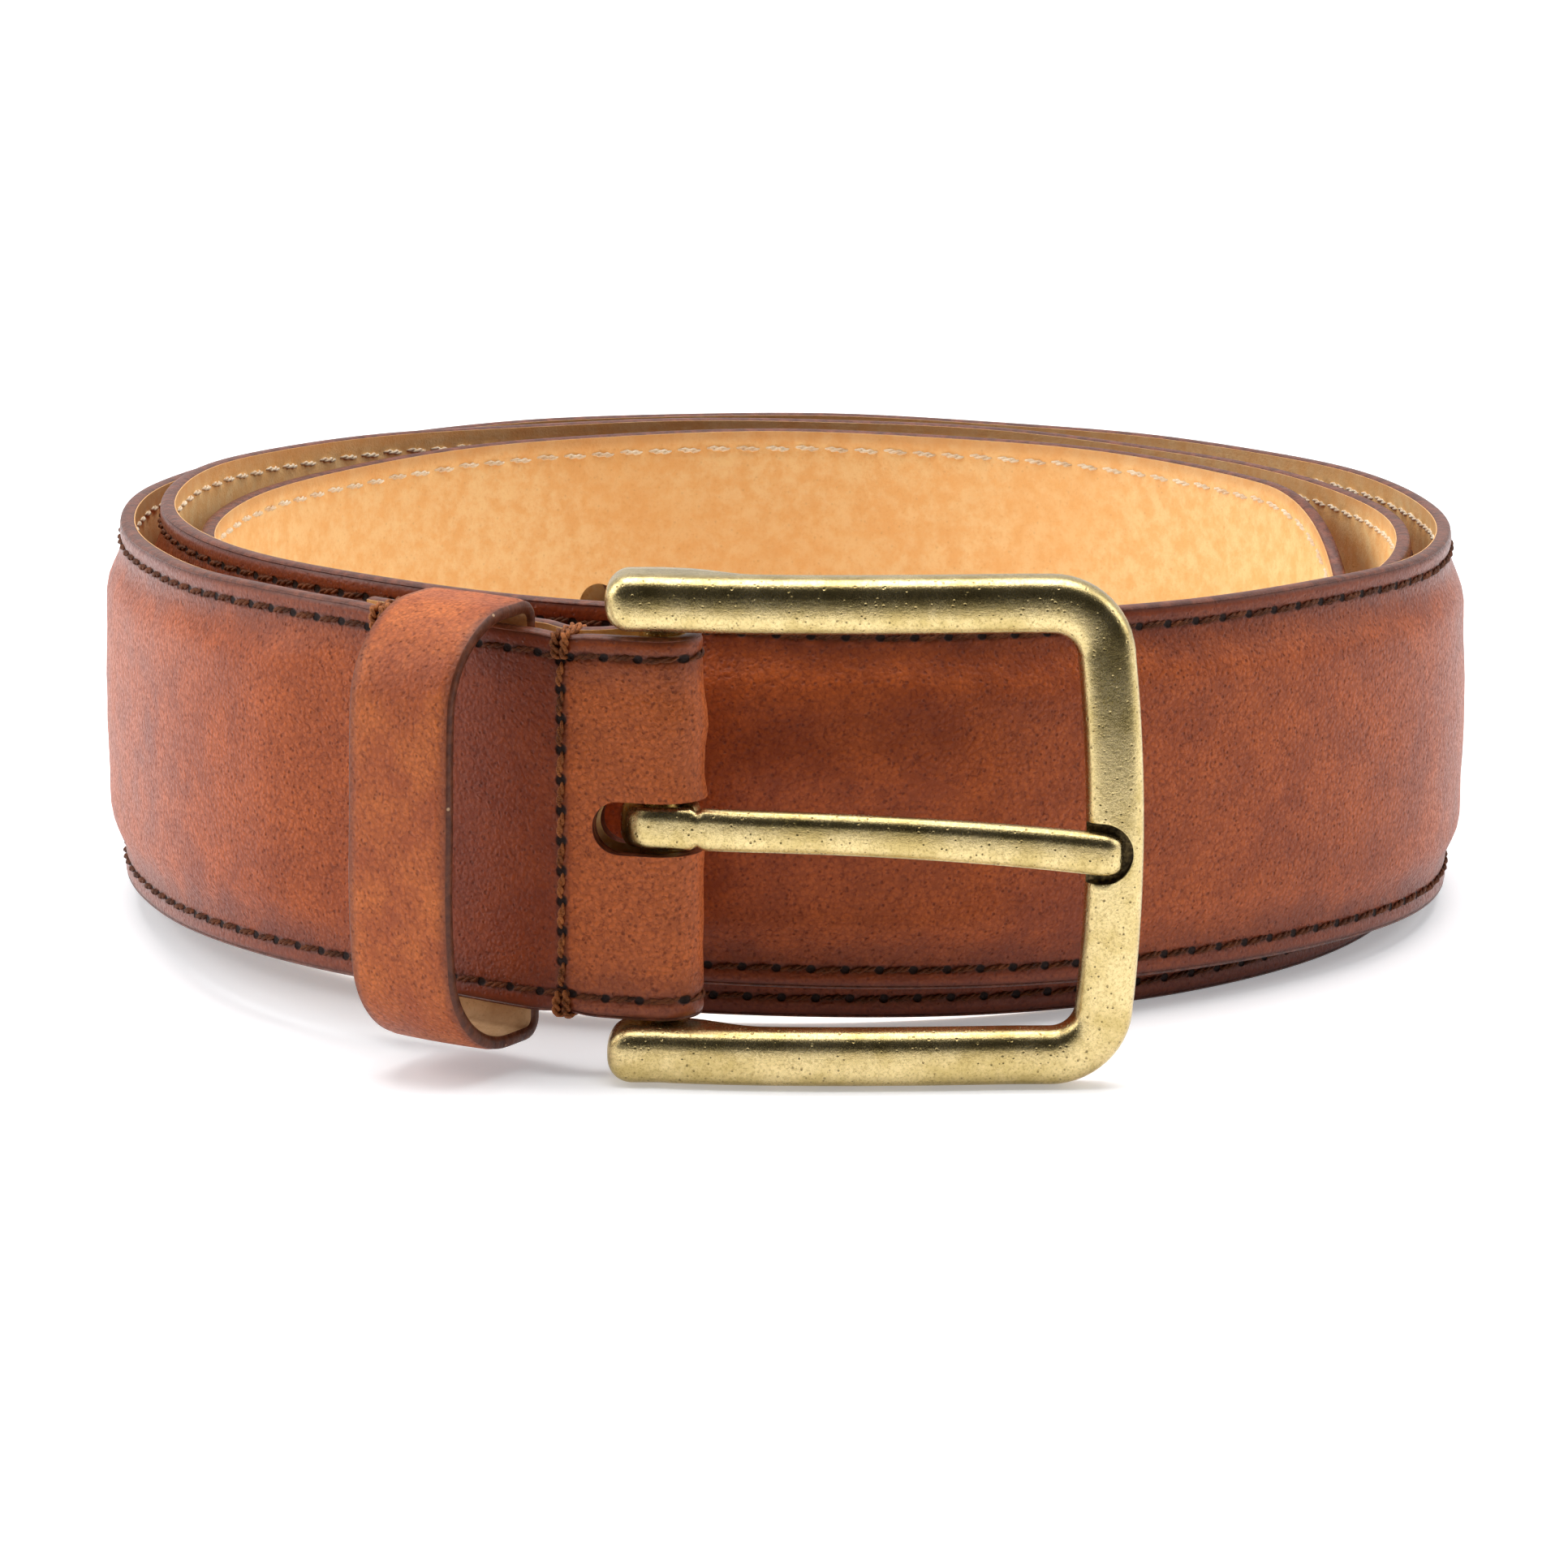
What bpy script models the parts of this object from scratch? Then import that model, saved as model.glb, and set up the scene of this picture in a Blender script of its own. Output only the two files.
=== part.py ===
"""A leather dress belt, rolled up and standing on its edge, with the buckle in front.

+X is to the right, +Y runs away from the buckle, +Z is up, and the origin is on the
floor under the middle of the belt. The strap is laid along one plan curve: it starts
at the buckle's heel bar, runs left and winds inward almost three times. A place on the
strap is given by its distance from the bar, its height across the width, and its
offset out from the back of the lining.
"""
import math

import bmesh
import bpy
import numpy as np
from mathutils import Matrix, Vector

MM = 0.001

# ---- strap
STRAP_WIDTH = 35.0
EDGE_THICKNESS = 1.5
PADDING_RISE = 1.6          # how far the padded middle stands above the flat margins
FACE_LEATHER = 0.75
LINING = 0.65
GLUE_GAP = 0.10             # left open between layers, which share their stations
FLAT_MARGIN = 2.7           # stitched strip along each edge
PADDING_SLOPE = 3.3         # from the margin up to the crown
PADDING_STARTS = 29.0       # from the bar, under the keeper's outer seam
PADDING_FULL = 42.0
STRAP_LENGTH = 1021.0       # heel bar to the end of the tip
TIP_TAPER = 26.0
TIP_END_HALF_WIDTH = 1.8

# ---- the roll: angle round from the front going left (degrees), distance from the
# roll's axis to the back of the lining (mm), height of the lower edge over the floor (mm)
ROLL_AXIS = (-0.225, 6.69)
ROLL = (
    (8.9, 74.7, 5.7), (15, 74.0, 5.7), (22, 72.2, 5.8), (30, 70.8, 5.9), (38, 69.8, 5.8),
    (46, 68.5, 5.5), (56, 66.3, 4.7), (68, 64.1, 3.6), (82, 63.5, 2.8), (100, 63.6, 2.2),
    (135, 64.4, 0.8), (180, 64.1, 0.0), (225, 64.3, 0.2), (255, 64.3, 0.9), (275, 63.8, 1.6),
    (290, 63.3, 2.3), (305, 61.5, 2.9), (320, 59.5, 3.3), (340, 58.2, 3.9), (360, 57.5, 4.6),
    (380, 57.5, 5.0), (400, 58.1, 5.0), (420, 58.8, 4.8), (440, 59.4, 4.2), (460, 59.8, 3.6),
    (500, 60.2, 1.5), (540, 59.9, 0.2), (580, 59.6, 0.0), (615, 60.2, 0.1), (640, 59.6, 0.1),
    (660, 58.0, 0.0), (680, 55.8, 0.0), (700, 54.4, 0.3), (720, 53.6, 0.8), (740, 53.8, 1.1),
    (765, 54.5, 1.2), (800, 55.6, 0.8), (840, 55.7, 0.4), (880, 55.1, 0.0), (920, 55.0, 0.0),
    (955, 55.1, 0.0), (1010, 55.0, 0.0),
)

# ---- the end folded round the heel bar
FOLD_RADIUS = 2.3           # inside of the fold, to the lining
TURN_BACK = 31.0            # the folded end reaches this far back
SEAM_NEAR_BUCKLE = 8.2      # the two seams across the strap, distance from the bar
SEAM_NEAR_PADDING = 27.6
SEAM_GAP = 0.8              # between the two linings where a seam pulls them together
KEEPER_POCKET = 2.1         # between the two linings where the keeper is caught
SLOT_HEIGHT = 4.9
SLOT_BEHIND_BAR = 5.5       # the slot's round end, measured along the strap
SLOT_CENTRE_HEIGHT = 23.3

# ---- holes and stitches
HOLE_DIAMETER = 4.0
HOLE_SPACING = 25.0
HOLE_COUNT = 5
FIRST_HOLE_FROM_TIP = 105.0
STITCH_INSET = 1.8
THREAD_WIDTH = 0.6
THREAD_HEIGHT = 0.3
THREAD_CLEARANCE = 0.05

# ---- keeper
KEEPER_CENTRE = 17.7        # along the strap, between the two seams
KEEPER_WIDTH = 11.0
KEEPER_LEATHER = 1.25
KEEPER_LOW = 2.4            # heights over the floor
KEEPER_HIGH = 43.2
KEEPER_BACK = -0.45         # its rear strand's front face, behind the lining
KEEPER_FRONT = 11.6
KEEPER_CORNER = 7.0
KEEPER_BOW = 1.3            # its front strand swells out in the middle

# ---- buckle, measured from the heel bar's axis
BUCKLE_HEIGHT = 46.7
BUCKLE_REACH = 40.6         # heel bar's axis to the middle of the outer bar
BUCKLE_TAIL = 4.9           # the arms run on behind the heel bar
ARM_HEIGHT = 5.2
ARM_DEPTH = 4.4
ARM_FORWARD = 3.2           # the frame's middle is this far in front of the heel bar
ARM_SWELL = 1.3             # each arm curves forwards by this much more in its length
LUG_DEPTH = 2.4             # the arms are this much deeper where they hold the heel bar
CORNER_RADIUS = 4.9         # to the middle of the metal
OUTER_BAR_BOW = 0.8         # outwards, in the frame's own plane
OUTER_BAR_ARCH = 1.8        # forwards, between its corners
HEEL_BAR_RADIUS = 1.9
NOTCH_HEIGHT = 5.6
NOTCH_DEPTH = 1.5
NOTCH_END = 1.0             # metal left outside the notch
PRONG_WIDTH = 3.9
PRONG_CURL_INSIDE = 2.15
PRONG_CURL_THICKNESS = 1.5
PRONG_THICKNESS = 2.2
PRONG_LENGTH = 41.2
PRONG_DROOP = 1.55
PRONG_RISE = 4.0            # forwards to its end, over the arched outer bar


# ---- scene and materials

def clear_scene():
    for thing in list(bpy.data.objects):
        bpy.data.objects.remove(thing, do_unlink=True)


def make_material(name, colour, roughness, metallic=0.0):
    material = bpy.data.materials.new(name)
    material.use_nodes = True
    shader = material.node_tree.nodes["Principled BSDF"]
    shader.inputs["Base Color"].default_value = (*colour, 1.0)
    shader.inputs["Roughness"].default_value = roughness
    shader.inputs["Metallic"].default_value = metallic
    return material


def add_object(name, points, faces, material, sharp_angle=35):
    """One closed mesh object from points in millimetres."""
    mesh = bpy.data.meshes.new(name)
    mesh.from_pydata([Vector(point) * MM for point in points], [], faces)
    tidy = bmesh.new()
    tidy.from_mesh(mesh)
    bmesh.ops.recalc_face_normals(tidy, faces=tidy.faces)
    tidy.to_mesh(mesh)
    tidy.free()
    mesh.shade_smooth()
    mesh.set_sharp_from_angle(angle=math.radians(sharp_angle))
    mesh.materials.append(material)
    thing = bpy.data.objects.new(name, mesh)
    bpy.context.scene.collection.objects.link(thing)
    return thing


def cut(thing, cutters):
    """Cut each cutter from the object and keep the cutters as hidden guides."""
    for cutter in cutters:
        cutter.hide_render = True
        cutter.display_type = "WIRE"
        boolean = thing.modifiers.new("cut_" + cutter.name, "BOOLEAN")
        boolean.operation = "DIFFERENCE"
        boolean.solver = "EXACT"
        boolean.object = cutter


# ---- the strap's path

def smooth_curve(knots, values):
    """A natural cubic spline through the values, as a function of the knot."""
    knots = np.asarray(knots, float)
    values = np.asarray(values, float)
    step = np.diff(knots)
    slope = np.diff(values) / step
    system = np.eye(len(knots))
    right_side = np.zeros(len(knots))
    for i in range(1, len(knots) - 1):
        system[i, i - 1:i + 2] = step[i - 1], 2 * (step[i - 1] + step[i]), step[i]
        right_side[i] = 6 * (slope[i] - slope[i - 1])
    bend = np.linalg.solve(system, right_side)

    def value_at(x):
        i = int(np.clip(np.searchsorted(knots, x) - 1, 0, len(step) - 1))
        before = (x - knots[i]) / step[i]
        after = 1 - before
        curve = (after ** 3 - after) * bend[i] + (before ** 3 - before) * bend[i + 1]
        return after * values[i] + before * values[i + 1] + curve * step[i] ** 2 / 6

    return value_at


class StrapPath:
    """The roll's plan curve, read by the distance along it from the heel bar."""

    def __init__(self):
        angles, radii, lifts = zip(*ROLL)
        radius_at = smooth_curve(angles, radii)
        lift_at = smooth_curve(angles, lifts)
        turn = np.arange(angles[0], angles[-1], 0.5)
        radius = np.array([radius_at(a) for a in turn])
        self.x = ROLL_AXIS[0] - radius * np.sin(np.radians(turn))
        self.y = ROLL_AXIS[1] - radius * np.cos(np.radians(turn))
        self.lift = np.maximum([lift_at(a) for a in turn], 0.0)
        steps = np.hypot(np.diff(self.x), np.diff(self.y))
        self.distance = np.concatenate([[0.0], np.cumsum(steps)])

    def point(self, distance):
        return Vector((np.interp(distance, self.distance, self.x),
                       np.interp(distance, self.distance, self.y),
                       np.interp(distance, self.distance, self.lift)))

    def tangent(self, distance):
        ahead = self.point(distance + 1.0)
        behind = self.point(max(distance - 1.0, 0.0))
        return Vector((ahead.x - behind.x, ahead.y - behind.y, 0.0)).normalized()

    def outward(self, distance):
        along = self.tangent(distance)
        return Vector((-along.y, along.x, 0.0))


PATH = StrapPath()
BAR_PLACE = PATH.point(0.0) - PATH.outward(0.0) * FOLD_RADIUS


def smooth_step(x, low, high):
    part = min(max((x - low) / (high - low), 0.0), 1.0)
    return part * part * (3 - 2 * part)


def pocket(distance):
    """Gap between the strap's lining and the turned back lining."""
    if distance < SEAM_NEAR_BUCKLE:
        close = smooth_step(distance, 0.0, SEAM_NEAR_BUCKLE)
        return 2 * FOLD_RADIUS + close * (SEAM_GAP - 2 * FOLD_RADIUS)
    if distance > SEAM_NEAR_PADDING:
        return SEAM_GAP
    keeper_edge = KEEPER_CENTRE - KEEPER_WIDTH / 2
    open_up = smooth_step(distance, SEAM_NEAR_BUCKLE, keeper_edge)
    close = smooth_step(distance, KEEPER_CENTRE + KEEPER_WIDTH / 2, SEAM_NEAR_PADDING)
    return SEAM_GAP + (KEEPER_POCKET - SEAM_GAP) * min(open_up, 1 - close)


def half_width(distance):
    into_tip = (distance - (STRAP_LENGTH - TIP_TAPER)) / TIP_TAPER
    if into_tip <= 0:
        return STRAP_WIDTH / 2
    round_tip = math.sqrt(max(1 - into_tip ** 2, 0.0))
    return max(STRAP_WIDTH / 2 * round_tip, TIP_END_HALF_WIDTH)


class Station:
    """One cross-section of the strap: where it is and how wide and padded it is."""

    def __init__(self, place, outward, distance, padded):
        self.place = place
        self.outward = outward
        self.half_width = half_width(distance)
        self.padding = padded * PADDING_RISE * self.half_width / (STRAP_WIDTH / 2)

    def at(self, across, offset):
        """A point across the width (-1 lower edge, 1 upper edge), out from the lining."""
        height = STRAP_WIDTH / 2 + across * self.half_width
        return self.place + self.outward * offset + Vector((0, 0, height))

    def face_offset(self, across):
        """Outer face of the strap: flat margins, a slope and a crowned middle."""
        inset = (1 - abs(across)) * STRAP_WIDTH / 2
        knots = (FLAT_MARGIN, FLAT_MARGIN + PADDING_SLOPE, STRAP_WIDTH / 2)
        return EDGE_THICKNESS + self.padding * float(np.interp(inset, knots, (0, 0.8, 1)))


def strap_distances():
    """Close stations at the buckle end and round the tip, wider ones between."""
    near = list(np.arange(0.0, 45.0, 3.0))
    tip_start = STRAP_LENGTH - TIP_TAPER
    middle = list(np.linspace(45.0, tip_start, 106))
    tip = [tip_start + TIP_TAPER * math.sin(math.radians(a)) for a in (14, 28, 41, 53, 64, 74, 83)]
    return near + middle + tip


def strap_stations():
    stations = []
    for distance in strap_distances():
        padded = smooth_step(distance, PADDING_STARTS, PADDING_FULL)
        stations.append(Station(PATH.point(distance), PATH.outward(distance), distance, padded))
    return stations


def turned_back_stations():
    """From the turned back end to the bar, then round the bar to the strap's start."""
    stations = []
    for distance in np.linspace(TURN_BACK, 2.0, 13):
        outward = PATH.outward(distance)
        place = PATH.point(distance) - outward * pocket(distance)
        stations.append(Station(place, -outward, 0.0, 0.0))
    front = PATH.outward(0.0)
    for degrees in range(180, 0, -20):
        outward = Matrix.Rotation(math.radians(degrees), 3, "Z") @ front
        stations.append(Station(BAR_PLACE + outward * FOLD_RADIUS, outward, 0.0, 0.0))
    return stations


STRAP = strap_stations()
WHOLE_STRAP = turned_back_stations() + STRAP

ACROSS_PADDING = 1 - 2 * FLAT_MARGIN / STRAP_WIDTH
ACROSS_CROWN = 1 - 2 * (FLAT_MARGIN + PADDING_SLOPE) / STRAP_WIDTH
ACROSS_FLAT_CROWN = 0.34
FACE_LINES = (-1, -ACROSS_PADDING, -ACROSS_CROWN, -ACROSS_FLAT_CROWN,
              ACROSS_FLAT_CROWN, ACROSS_CROWN, ACROSS_PADDING, 1)
CORE_LINES = (-ACROSS_CROWN, -ACROSS_FLAT_CROWN, ACROSS_FLAT_CROWN, ACROSS_CROWN)


# ---- strap layers

def layer(name, stations, lines, low, high, material):
    """A closed band: low and high give the two surfaces' offsets at a station's line."""
    points = []
    for station in stations:
        points += [station.at(line, low(station, line)) for line in lines]
        points += [station.at(line, high(station, line)) for line in reversed(lines)]
    ring = 2 * len(lines)
    faces = []
    for i in range(len(stations) - 1):
        for j in range(ring):
            after = (j + 1) % ring
            faces.append((i * ring + j, i * ring + after,
                          (i + 1) * ring + after, (i + 1) * ring + j))
    for start in (0, (len(stations) - 1) * ring):
        for j in range(len(lines) - 1):
            faces.append((start + j, start + j + 1, start + ring - 2 - j, start + ring - 1 - j))
    return add_object(name, points, faces, material)


def face_leather(material):
    def under(station, line):
        return station.face_offset(line) - FACE_LEATHER

    return layer("strap_face_leather", WHOLE_STRAP, FACE_LINES, under, Station.face_offset,
                 material)


def padding_core(material):
    """The filler: it lies on the lining under the crown of the face leather."""
    def low(station, line):
        return LINING + GLUE_GAP

    def high(station, line):
        return station.face_offset(line) - FACE_LEATHER - GLUE_GAP

    padded = [s for s in STRAP if s.padding > 0.25 * PADDING_RISE]
    return layer("padding_core", padded, CORE_LINES, low, high, material)


def lining(material):
    def low(station, line):
        return 0.0

    def high(station, line):
        return LINING

    return layer("strap_lining", WHOLE_STRAP, (-1, 1), low, high, material)


# ---- threads

def thread(name, route, material, closed=False):
    """A square-section thread along a route of (point, outward) pairs."""
    points = []
    count = len(route)
    for i, (place, outward) in enumerate(route):
        ahead = route[(i + 1) % count][0] if closed or i < count - 1 else place
        behind = route[i - 1][0] if closed or i else place
        side = (ahead - behind).cross(outward).normalized() * THREAD_WIDTH / 2
        rise = outward * THREAD_HEIGHT
        points += [place - side, place + side, place + side + rise, place - side + rise]
    faces = []
    for i in range(count if closed else count - 1):
        after = (i + 1) % count
        for j in range(4):
            k = (j + 1) % 4
            faces.append((i * 4 + j, i * 4 + k, after * 4 + k, after * 4 + j))
    if not closed:
        last = 4 * (count - 1)
        faces += [(0, 1, 2, 3), (last, last + 1, last + 2, last + 3)]
    return add_object(name, points, faces, material)


def edge_thread(name, offset, sign, material):
    """One thread up the lower edge, across just short of the tip and back along the upper."""
    across = 1 - 2 * STITCH_INSET / STRAP_WIDTH
    run = STRAP[1:-1]
    route = [(s.at(-across, offset(s, -across)), s.outward * sign) for s in run]
    turn = run[-1]
    clear_of_slope = 4 * THREAD_CLEARANCE * sign
    for line in (-ACROSS_CROWN, -ACROSS_FLAT_CROWN, ACROSS_FLAT_CROWN, ACROSS_CROWN):
        route.append((turn.at(line, offset(turn, line) + clear_of_slope), turn.outward * sign))
    route += [(s.at(across, offset(s, across)), s.outward * sign) for s in reversed(run)]
    return thread(name, route, material)


def needle_thread(material):
    def offset(station, line):
        return station.face_offset(line) + THREAD_CLEARANCE

    return edge_thread("needle_thread", offset, 1, material)


def bobbin_thread(material):
    def offset(station, line):
        return -THREAD_CLEARANCE

    return edge_thread("bobbin_thread", offset, -1, material)


def cross_seam_thread(name, distance, material):
    """A seam across the strap: its thread goes round both edges and both layers."""
    station = Station(PATH.point(distance), PATH.outward(distance), distance, 0.0)
    front = EDGE_THICKNESS + THREAD_HEIGHT + 3 * THREAD_CLEARANCE
    back = -pocket(distance) - EDGE_THICKNESS - 0.42
    over = 1 + 2 * 0.3 / STRAP_WIDTH
    up = Vector((0, 0, 1))
    out = station.outward
    bevel = 0.35
    route = []
    for across, offset, way in (
            (-over, front - bevel, out * 0.6 - up * 0.8), (-over, front, out * 0.8 - up * 0.6),
            (over, front, out * 0.8 + up * 0.6), (over, front - bevel, out * 0.6 + up * 0.8),
            (over, back + bevel, up * 0.8 - out * 0.6), (over, back, up * 0.6 - out * 0.8),
            (-over, back, -up * 0.6 - out * 0.8), (-over, back + bevel, -up * 0.8 - out * 0.6)):
        route.append((station.at(across, offset), way))
    return thread(name, route, material, closed=True)


# ---- cutters

def slot_cutter():
    """A stadium through both folded layers, open round the fold."""
    along = PATH.tangent(0.0)
    out = PATH.outward(0.0)
    radius = SLOT_HEIGHT / 2
    outline = [(-8.0, -radius), (-8.0, radius)]
    round_centre = SLOT_BEHIND_BAR - radius
    for degrees in range(90, -91, -15):
        turn = math.radians(degrees)
        outline.append((round_centre + radius * math.cos(turn), radius * math.sin(turn)))
    points = []
    for offset in (-6.5, 5.0):
        for distance, height in outline:
            flat = Vector((BAR_PLACE.x, BAR_PLACE.y, SLOT_CENTRE_HEIGHT))
            points.append(flat + along * distance + out * offset + Vector((0, 0, height)))
    return add_object("guide_slot", points, prism_faces(len(outline)), None)


def prism_faces(count):
    sides = [(i, (i + 1) % count, count + (i + 1) % count, count + i) for i in range(count)]
    return sides + [tuple(range(count)), tuple(range(2 * count - 1, count - 1, -1))]


def hole_cutters():
    cutters = []
    for i in range(HOLE_COUNT):
        distance = STRAP_LENGTH - FIRST_HOLE_FROM_TIP - i * HOLE_SPACING
        out = PATH.outward(distance)
        middle = PATH.point(distance) + Vector((0, 0, STRAP_WIDTH / 2))
        points = []
        for offset in (-0.4, EDGE_THICKNESS + PADDING_RISE + 0.4):
            for k in range(16):
                turn = 2 * math.pi * k / 16
                across = PATH.tangent(distance) * math.cos(turn) + Vector((0, 0, math.sin(turn)))
                points.append(middle + out * offset + across * HOLE_DIAMETER / 2)
        cutters.append(add_object(f"guide_hole_{i + 1}", points, prism_faces(16), None))
    return cutters


# ---- keeper

def bowed(offset, height):
    """The front strand's offset once it has swelled out between its corners."""
    half = (KEEPER_HIGH - KEEPER_LOW) / 2
    from_middle = (height - KEEPER_LOW - half) / half
    share = smooth_step(offset, 0.0, KEEPER_FRONT - KEEPER_LEATHER)
    return offset + KEEPER_BOW * share * (1 - from_middle ** 2)


def rounded_outline(low, high, back, front, corners, steps):
    """A rectangle in offset and height with its own radius at each corner."""
    centres = ((front, low, -90, 1), (front, high, 0, 1), (back, high, 90, -1), (back, low, 180, -1))
    outline = []
    for (offset, height, start, side), radius in zip(centres, corners):
        centre_offset = offset - side * radius
        centre_height = height + radius if height == low else height - radius
        for k in range(steps + 1):
            turn = math.radians(start + 90 * k / steps)
            outline.append((centre_offset + radius * math.cos(turn),
                            centre_height + radius * math.sin(turn)))
        if height == low and offset == front:
            straight_end = high - radius
            outline += [(front, centre_height + (straight_end - centre_height) * part)
                        for part in (0.2, 0.4, 0.6, 0.8)]
    return [(bowed(offset, height), height) for offset, height in outline]


def keeper_loop(material):
    """A closed band of leather whose rear strand is caught between the two linings."""
    outer = rounded_outline(KEEPER_LOW, KEEPER_HIGH, KEEPER_BACK - KEEPER_LEATHER, KEEPER_FRONT,
                            (KEEPER_CORNER + KEEPER_LEATHER,) * 2 + (2.0, 2.0), 5)
    inner = rounded_outline(KEEPER_LOW + KEEPER_LEATHER, KEEPER_HIGH - KEEPER_LEATHER,
                            KEEPER_BACK, KEEPER_FRONT - KEEPER_LEATHER,
                            (KEEPER_CORNER,) * 2 + (0.75, 0.75), 5)
    middle = PATH.point(KEEPER_CENTRE)
    along = PATH.tangent(KEEPER_CENTRE)
    out = PATH.outward(KEEPER_CENTRE)
    points = []
    for side in (-1, 1):
        for outline in (outer, inner):
            for offset, height in outline:
                flat = Vector((middle.x, middle.y, height)) + out * offset
                points.append(flat + along * side * KEEPER_WIDTH / 2)
    count = len(outer)
    faces = []
    for i in range(count):
        j = (i + 1) % count
        faces.append((i, j, 2 * count + j, 2 * count + i))
        faces.append((count + i, count + j, 3 * count + j, 3 * count + i))
        faces.append((i, j, count + j, count + i))
        faces.append((2 * count + i, 2 * count + j, 3 * count + j, 3 * count + i))
    return add_object("keeper_loop", points, faces, material)


# ---- buckle, drawn with the heel bar's axis as its local Z axis

def buckle_section(depth, height, sides=12):
    """A rounded section: full in front, flatter behind."""
    section = []
    for k in range(sides):
        turn = 2 * math.pi * k / sides
        roundness = 0.75
        section.append((depth / 2 * math.copysign(abs(math.cos(turn)) ** roundness, math.cos(turn)),
                        height / 2 * math.copysign(abs(math.sin(turn)) ** roundness, math.sin(turn))))
    return section


def swept_ring_faces(rings, sides):
    faces = []
    for i in range(rings - 1):
        for j in range(sides):
            k = (j + 1) % sides
            faces.append((i * sides + j, i * sides + k, (i + 1) * sides + k, (i + 1) * sides + j))
    faces.append(tuple(range(sides)))
    faces.append(tuple(range((rings - 1) * sides, rings * sides)))
    return faces


def forward(x, height):
    """How far the frame's middle is in front of the heel bar: arms and outer bar both curve."""
    along_arm = min(max(x / BUCKLE_REACH, 0.0), 1.0)
    swell = ARM_SWELL * math.sin(math.pi * along_arm ** 0.75)
    along_bar = smooth_step(x, BUCKLE_REACH - 2 * CORNER_RADIUS, BUCKLE_REACH - CORNER_RADIUS / 2)
    arch = OUTER_BAR_ARCH * along_bar * (1 - (2 * height / BUCKLE_HEIGHT) ** 2)
    return ARM_FORWARD + swell + arch


def buckle_frame(material):
    """Two arms and the outer bar in one swept length, with rounded arm ends."""
    arm = BUCKLE_HEIGHT / 2 - ARM_HEIGHT / 2
    route = []
    for x, size in ((-BUCKLE_TAIL, 0.55), (0.35 - BUCKLE_TAIL, 0.85), (1.1 - BUCKLE_TAIL, 1.0)):
        route.append((x, arm, 0.0, size))
    for x in (0.0, 3.0, 6.0, 9.0, 13.0, 18.0, 24.0, 30.0,
              BUCKLE_REACH - CORNER_RADIUS - OUTER_BAR_BOW):
        route.append((x, arm, 0.0, 1.0))
    for degrees in range(75, 0, -15):
        turn = math.radians(degrees)
        route.append((BUCKLE_REACH - OUTER_BAR_BOW - CORNER_RADIUS * (1 - math.cos(turn)),
                      arm - CORNER_RADIUS * (1 - math.sin(turn)), 90 - degrees, 1.0))
    straight = arm - CORNER_RADIUS
    for k in range(4):
        height = straight * (1 - k / 4)
        route.append((BUCKLE_REACH - OUTER_BAR_BOW * (height / straight) ** 2, height, 90.0, 1.0))
    upper = route
    lower = [(x, -z, 180.0 - turn, size) for x, z, turn, size in reversed(upper[:-1])]
    section = buckle_section(ARM_DEPTH, ARM_HEIGHT)
    points = []
    for x, z, turn, size in upper + lower:
        across = Vector((math.sin(math.radians(turn)), 0, math.cos(math.radians(turn))))
        middle = Vector((x, -forward(x, z), z))
        lug = LUG_DEPTH * (1 - smooth_step(x, 1.5, 9.0))
        for depth, height in section:
            back = lug if depth < 0 else 0.0
            points.append(middle + across * height * size + Vector((0, (back - depth) * size, 0)))
    faces = swept_ring_faces(len(upper + lower), len(section))
    return add_object("buckle_frame", points, faces, material)


def notch_cutter():
    """A round-ended recess in the outer bar's front, where the prong rests."""
    radius = NOTCH_HEIGHT / 2
    end = BUCKLE_REACH + ARM_HEIGHT / 2 - NOTCH_END
    outline = [(end - 9.0, -radius), (end - 9.0, radius)]
    for degrees in range(90, -91, -18):
        turn = math.radians(degrees)
        outline.append((end - radius + radius * math.cos(turn), radius * math.sin(turn)))
    front = -ARM_FORWARD - OUTER_BAR_ARCH - ARM_DEPTH / 2
    low = prong_height(end - radius)
    points = [Vector((x, y, z + low)) for y in (front + NOTCH_DEPTH, front - 2.0) for x, z in outline]
    return add_object("guide_notch", points, prism_faces(len(outline)), None)


def heel_bar(material):
    length = BUCKLE_HEIGHT - 2 * ARM_HEIGHT - 0.6
    sides = 20
    points = []
    for height in (-length / 2, length / 2):
        for k in range(sides):
            turn = 2 * math.pi * k / sides
            points.append(Vector((HEEL_BAR_RADIUS * math.cos(turn),
                                  HEEL_BAR_RADIUS * math.sin(turn), height)))
    return add_object("heel_bar", points, prism_faces(sides), material)


def prong_height(x):
    """Height of the prong's middle over the buckle's middle: it droops to its end."""
    slot = SLOT_CENTRE_HEIGHT - BUCKLE_HEIGHT / 2
    return slot - PRONG_DROOP * (max(x, 0.0) / PRONG_LENGTH) ** 2.6


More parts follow.
